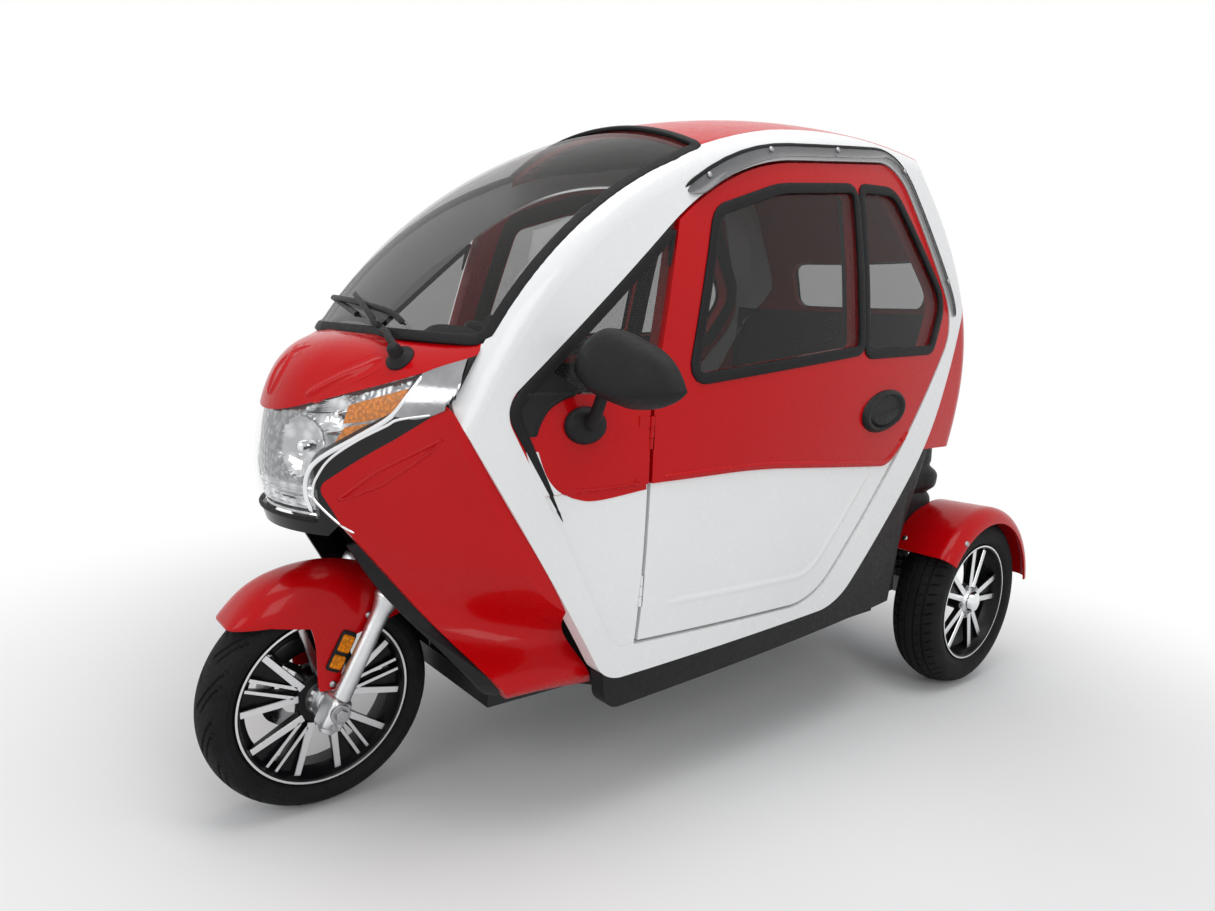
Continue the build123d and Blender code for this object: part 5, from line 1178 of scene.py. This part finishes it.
def pad_grid(halves, power=4.5):
    """Superellipsoid whose sides pull in between its corners."""
    up = np.linspace(-np.pi / 2, np.pi / 2, 40)[:, None]
    turn = np.linspace(0, 2 * np.pi, 80, endpoint=False)[None]

    def bend(value):
        return np.sign(value) * abs(value) ** (2 / power)

    ring = bend(np.cos(up))
    shape = np.stack(np.broadcast_arrays(ring * bend(np.cos(turn)), ring * bend(np.sin(turn)), bend(np.sin(up))), -1)
    pull = 1 - 0.045 * (1 - np.prod(shape[..., :2] ** 2, -1, keepdims=True)) * np.array((1, 1, 0))
    return shape * pull * np.asarray(halves)


def applied(obj):
    """The object's mesh with its modifiers applied, put in place of its own."""
    result = bpy.data.meshes.new_from_object(obj.evaluated_get(bpy.context.evaluated_depsgraph_get()))
    obj.modifiers.clear()
    obj.data = result


PAD_TRAVEL = 0.012
CHANNEL_WIDE = 0.006
CHANNEL_DEEP = 0.008


def seat_pad(name, halves, lean, spot, channels, groove, node):
    """Pad blown up by cloth pressure with its travel capped, channels and a groove pressed in, leaned back and put
    in its place."""
    obj = made(name, [pad_grid(halves)], "body", "seat_cover", LEATHER, replaces=node, caps=False)
    remesh = obj.modifiers.new("remesh", "REMESH")
    remesh.mode = "VOXEL"
    remesh.voxel_size = 0.007
    applied(obj)
    start = np.array([v.co for v in obj.data.vertices])
    cloth = obj.modifiers.new("cloth", "CLOTH")
    cloth.settings.use_pressure = True
    cloth.settings.uniform_pressure_force = 4.0
    cloth.settings.effector_weights.gravity = 0.0
    for step in range(1, 21):
        bpy.context.scene.frame_set(step)
    applied(obj)
    bpy.context.scene.frame_set(1)
    points = np.array([v.co for v in obj.data.vertices])
    travel = points - start
    far = np.maximum(np.linalg.norm(travel, axis=1, keepdims=True), 1e-9)
    points = start + travel * np.minimum(1, PAD_TRAVEL / far)
    top = smooth(points[:, 2], 0.0, halves[2] * 0.6)
    press = sum(np.exp(-(((points[:, 0] - x) / CHANNEL_WIDE) ** 2)) for x in channels)
    press = press + np.exp(-(((points[:, 1] - groove) / CHANNEL_WIDE) ** 2))
    points[:, 2] -= CHANNEL_DEEP * np.minimum(press, 1) * top
    turn = np.array(Matrix.Rotation(lean, 3, "X"))
    points = points @ turn.T + at([spot])[0]
    obj.data.vertices.foreach_set("co", points.ravel())
    obj.data.update()
    obj.data.shade_smooth()
    if not obj.data.materials:
        obj.data.materials.append(LEATHER)
    soft = obj.modifiers.new("soft", "SUBSURF")
    soft.levels = soft.render_levels = 1


seat_pad("driver_cushion", (0.200, 0.150, 0.032), 0.03, (0, 842, 464), (-0.10, 0.10), -0.05, ("driver_seat",))
seat_pad("driver_backrest", (0.195, 0.165, 0.028), 1.36, (0, 1062, 676), (-0.10, 0.10), 0.02, ())
seat_pad("passenger_cushion", (0.262, 0.062, 0.074), 0.0, (0, 1418, 466), (-0.13, 0.0, 0.13), 0.2, ("rear_seat",))
seat_pad("passenger_backrest", (0.262, 0.140, 0.028), 1.50, (0, 1524, 715), (-0.13, 0.0, 0.13), 0.03, ())


# Studio


def sight_share(tree):
    """1 for rays that show the background: straight from the camera, in a reflection or through glass."""
    rays = tree.nodes.new("ShaderNodeLightPath")
    share = rays.outputs["Is Camera Ray"]
    for kind in ("Is Glossy Ray", "Is Transmission Ray"):
        larger = tree.nodes.new("ShaderNodeMath")
        larger.operation = "MAXIMUM"
        tree.links.new(share, larger.inputs[0])
        tree.links.new(rays.outputs[kind], larger.inputs[1])
        share = larger.outputs["Value"]
    return share


floor_nodes = Nodes("pale floor")
floor_tint = floor_nodes.ramp(floor_nodes.noise(2.0, 3.0), 0.3, 0.7, (0.88,) * 3, (0.90,) * 3)
floor_nodes.link(floor_tint, floor_nodes.shader.inputs["Base Color"])
floor_nodes.link(floor_nodes.spread(floor_nodes.noise(18.0), 0.75, 0.9), floor_nodes.shader.inputs["Roughness"])
floor_nodes.set(Specular_IOR_Level=0.1)
away = floor_nodes.add("ShaderNodeVectorMath", operation="LENGTH")
floor_nodes.link(floor_nodes.place, away.inputs[0])
fade = floor_nodes.add("ShaderNodeMapRange", interpolation_type="SMOOTHSTEP")
fade.inputs["From Min"].default_value, fade.inputs["From Max"].default_value = 0.9, 2.3
floor_nodes.link(away.outputs["Value"], fade.inputs["Value"])
share_shown = floor_nodes.add("ShaderNodeMath", operation="MULTIPLY")
floor_nodes.link(fade.outputs["Result"], share_shown.inputs[0])
floor_nodes.link(sight_share(floor_nodes.tree), share_shown.inputs[1])
blank = floor_nodes.add("ShaderNodeEmission", Color=(1, 1, 1, 1), Strength=1.0)
blend = floor_nodes.add("ShaderNodeMixShader")
floor_nodes.link(share_shown.outputs["Value"], blend.inputs["Fac"])
floor_nodes.link(floor_nodes.shader.outputs["BSDF"], blend.inputs[1])
floor_nodes.link(blank.outputs["Emission"], blend.inputs[2])
floor_nodes.link(blend.outputs["Shader"], floor_nodes.tree.nodes["Material Output"].inputs["Surface"])
FLOOR_WHITE = floor_nodes.material
floor_grid = np.stack(np.meshgrid(np.linspace(-20, 20, 3), np.linspace(-20, 20, 3), indexing="ij"), -1)
floor_grid = np.concatenate((floor_grid, np.zeros((3, 3, 1))), -1)
floor = bpy.data.objects.new("floor", grid_mesh("floor", [floor_grid], (False, False), False))
floor.data.materials.append(FLOOR_WHITE)
bpy.context.scene.collection.objects.link(floor)


def softbox(name, spot, target, size, power):
    """Square area lamp that faces a point."""
    lamp = bpy.data.lights.new(name, "AREA")
    lamp.shape = "RECTANGLE"
    lamp.size, lamp.size_y = size
    lamp.energy = power
    obj = bpy.data.objects.new(name, lamp)
    way = Vector(target) - Vector(spot)
    obj.matrix_world = Matrix.Translation(Vector(spot)) @ way.to_track_quat("-Z", "Y").to_matrix().to_4x4()
    bpy.context.scene.collection.objects.link(obj)


softbox("top_light", (0.6, -0.6, 3.6), (0, 0, 0.8), (3.2, 1.6), 48.0)
softbox("side_light", (3.8, -1.2, 2.4), (0, -0.1, 0.7), (1.6, 2.4), 34.0)
softbox("nose_light", (0.4, -4.4, 2.2), (0, -0.6, 0.7), (2.4, 1.4), 26.0)

world = bpy.data.worlds.new("studio")
bpy.context.scene.world = world
world.use_nodes = True
sky = world.node_tree
sky.nodes.clear()
out = sky.nodes.new("ShaderNodeOutputWorld")
plain = sky.nodes.new("ShaderNodeBackground")
shown = sky.nodes.new("ShaderNodeBackground")
mix = sky.nodes.new("ShaderNodeMixShader")
plain.inputs["Color"].default_value = (0.96, 0.98, 1.0, 1)
plain.inputs["Strength"].default_value = 0.50
shown.inputs["Color"].default_value = (1, 1, 1, 1)
shown.inputs["Strength"].default_value = 1.0
sky.links.new(sight_share(sky), mix.inputs["Fac"])
sky.links.new(plain.outputs["Background"], mix.inputs[1])
sky.links.new(shown.outputs["Background"], mix.inputs[2])
sky.links.new(mix.outputs["Shader"], out.inputs["Surface"])

# Camera
camera = bpy.data.objects.new("camera", bpy.data.cameras.new("camera"))
camera.data.sensor_width = 36.0
camera.data.sensor_fit = "HORIZONTAL"
camera.data.lens = FOCAL / PICTURE[0] * 36.0
camera.matrix_world = Matrix(np.column_stack((RIGHT, ABOVE, -AHEAD)).tolist()).to_4x4()
camera.matrix_world.translation = Vector(CAMERA_SPOT)
bpy.context.scene.collection.objects.link(camera)
bpy.context.scene.camera = camera
bpy.context.scene.view_settings.view_transform = "Standard"
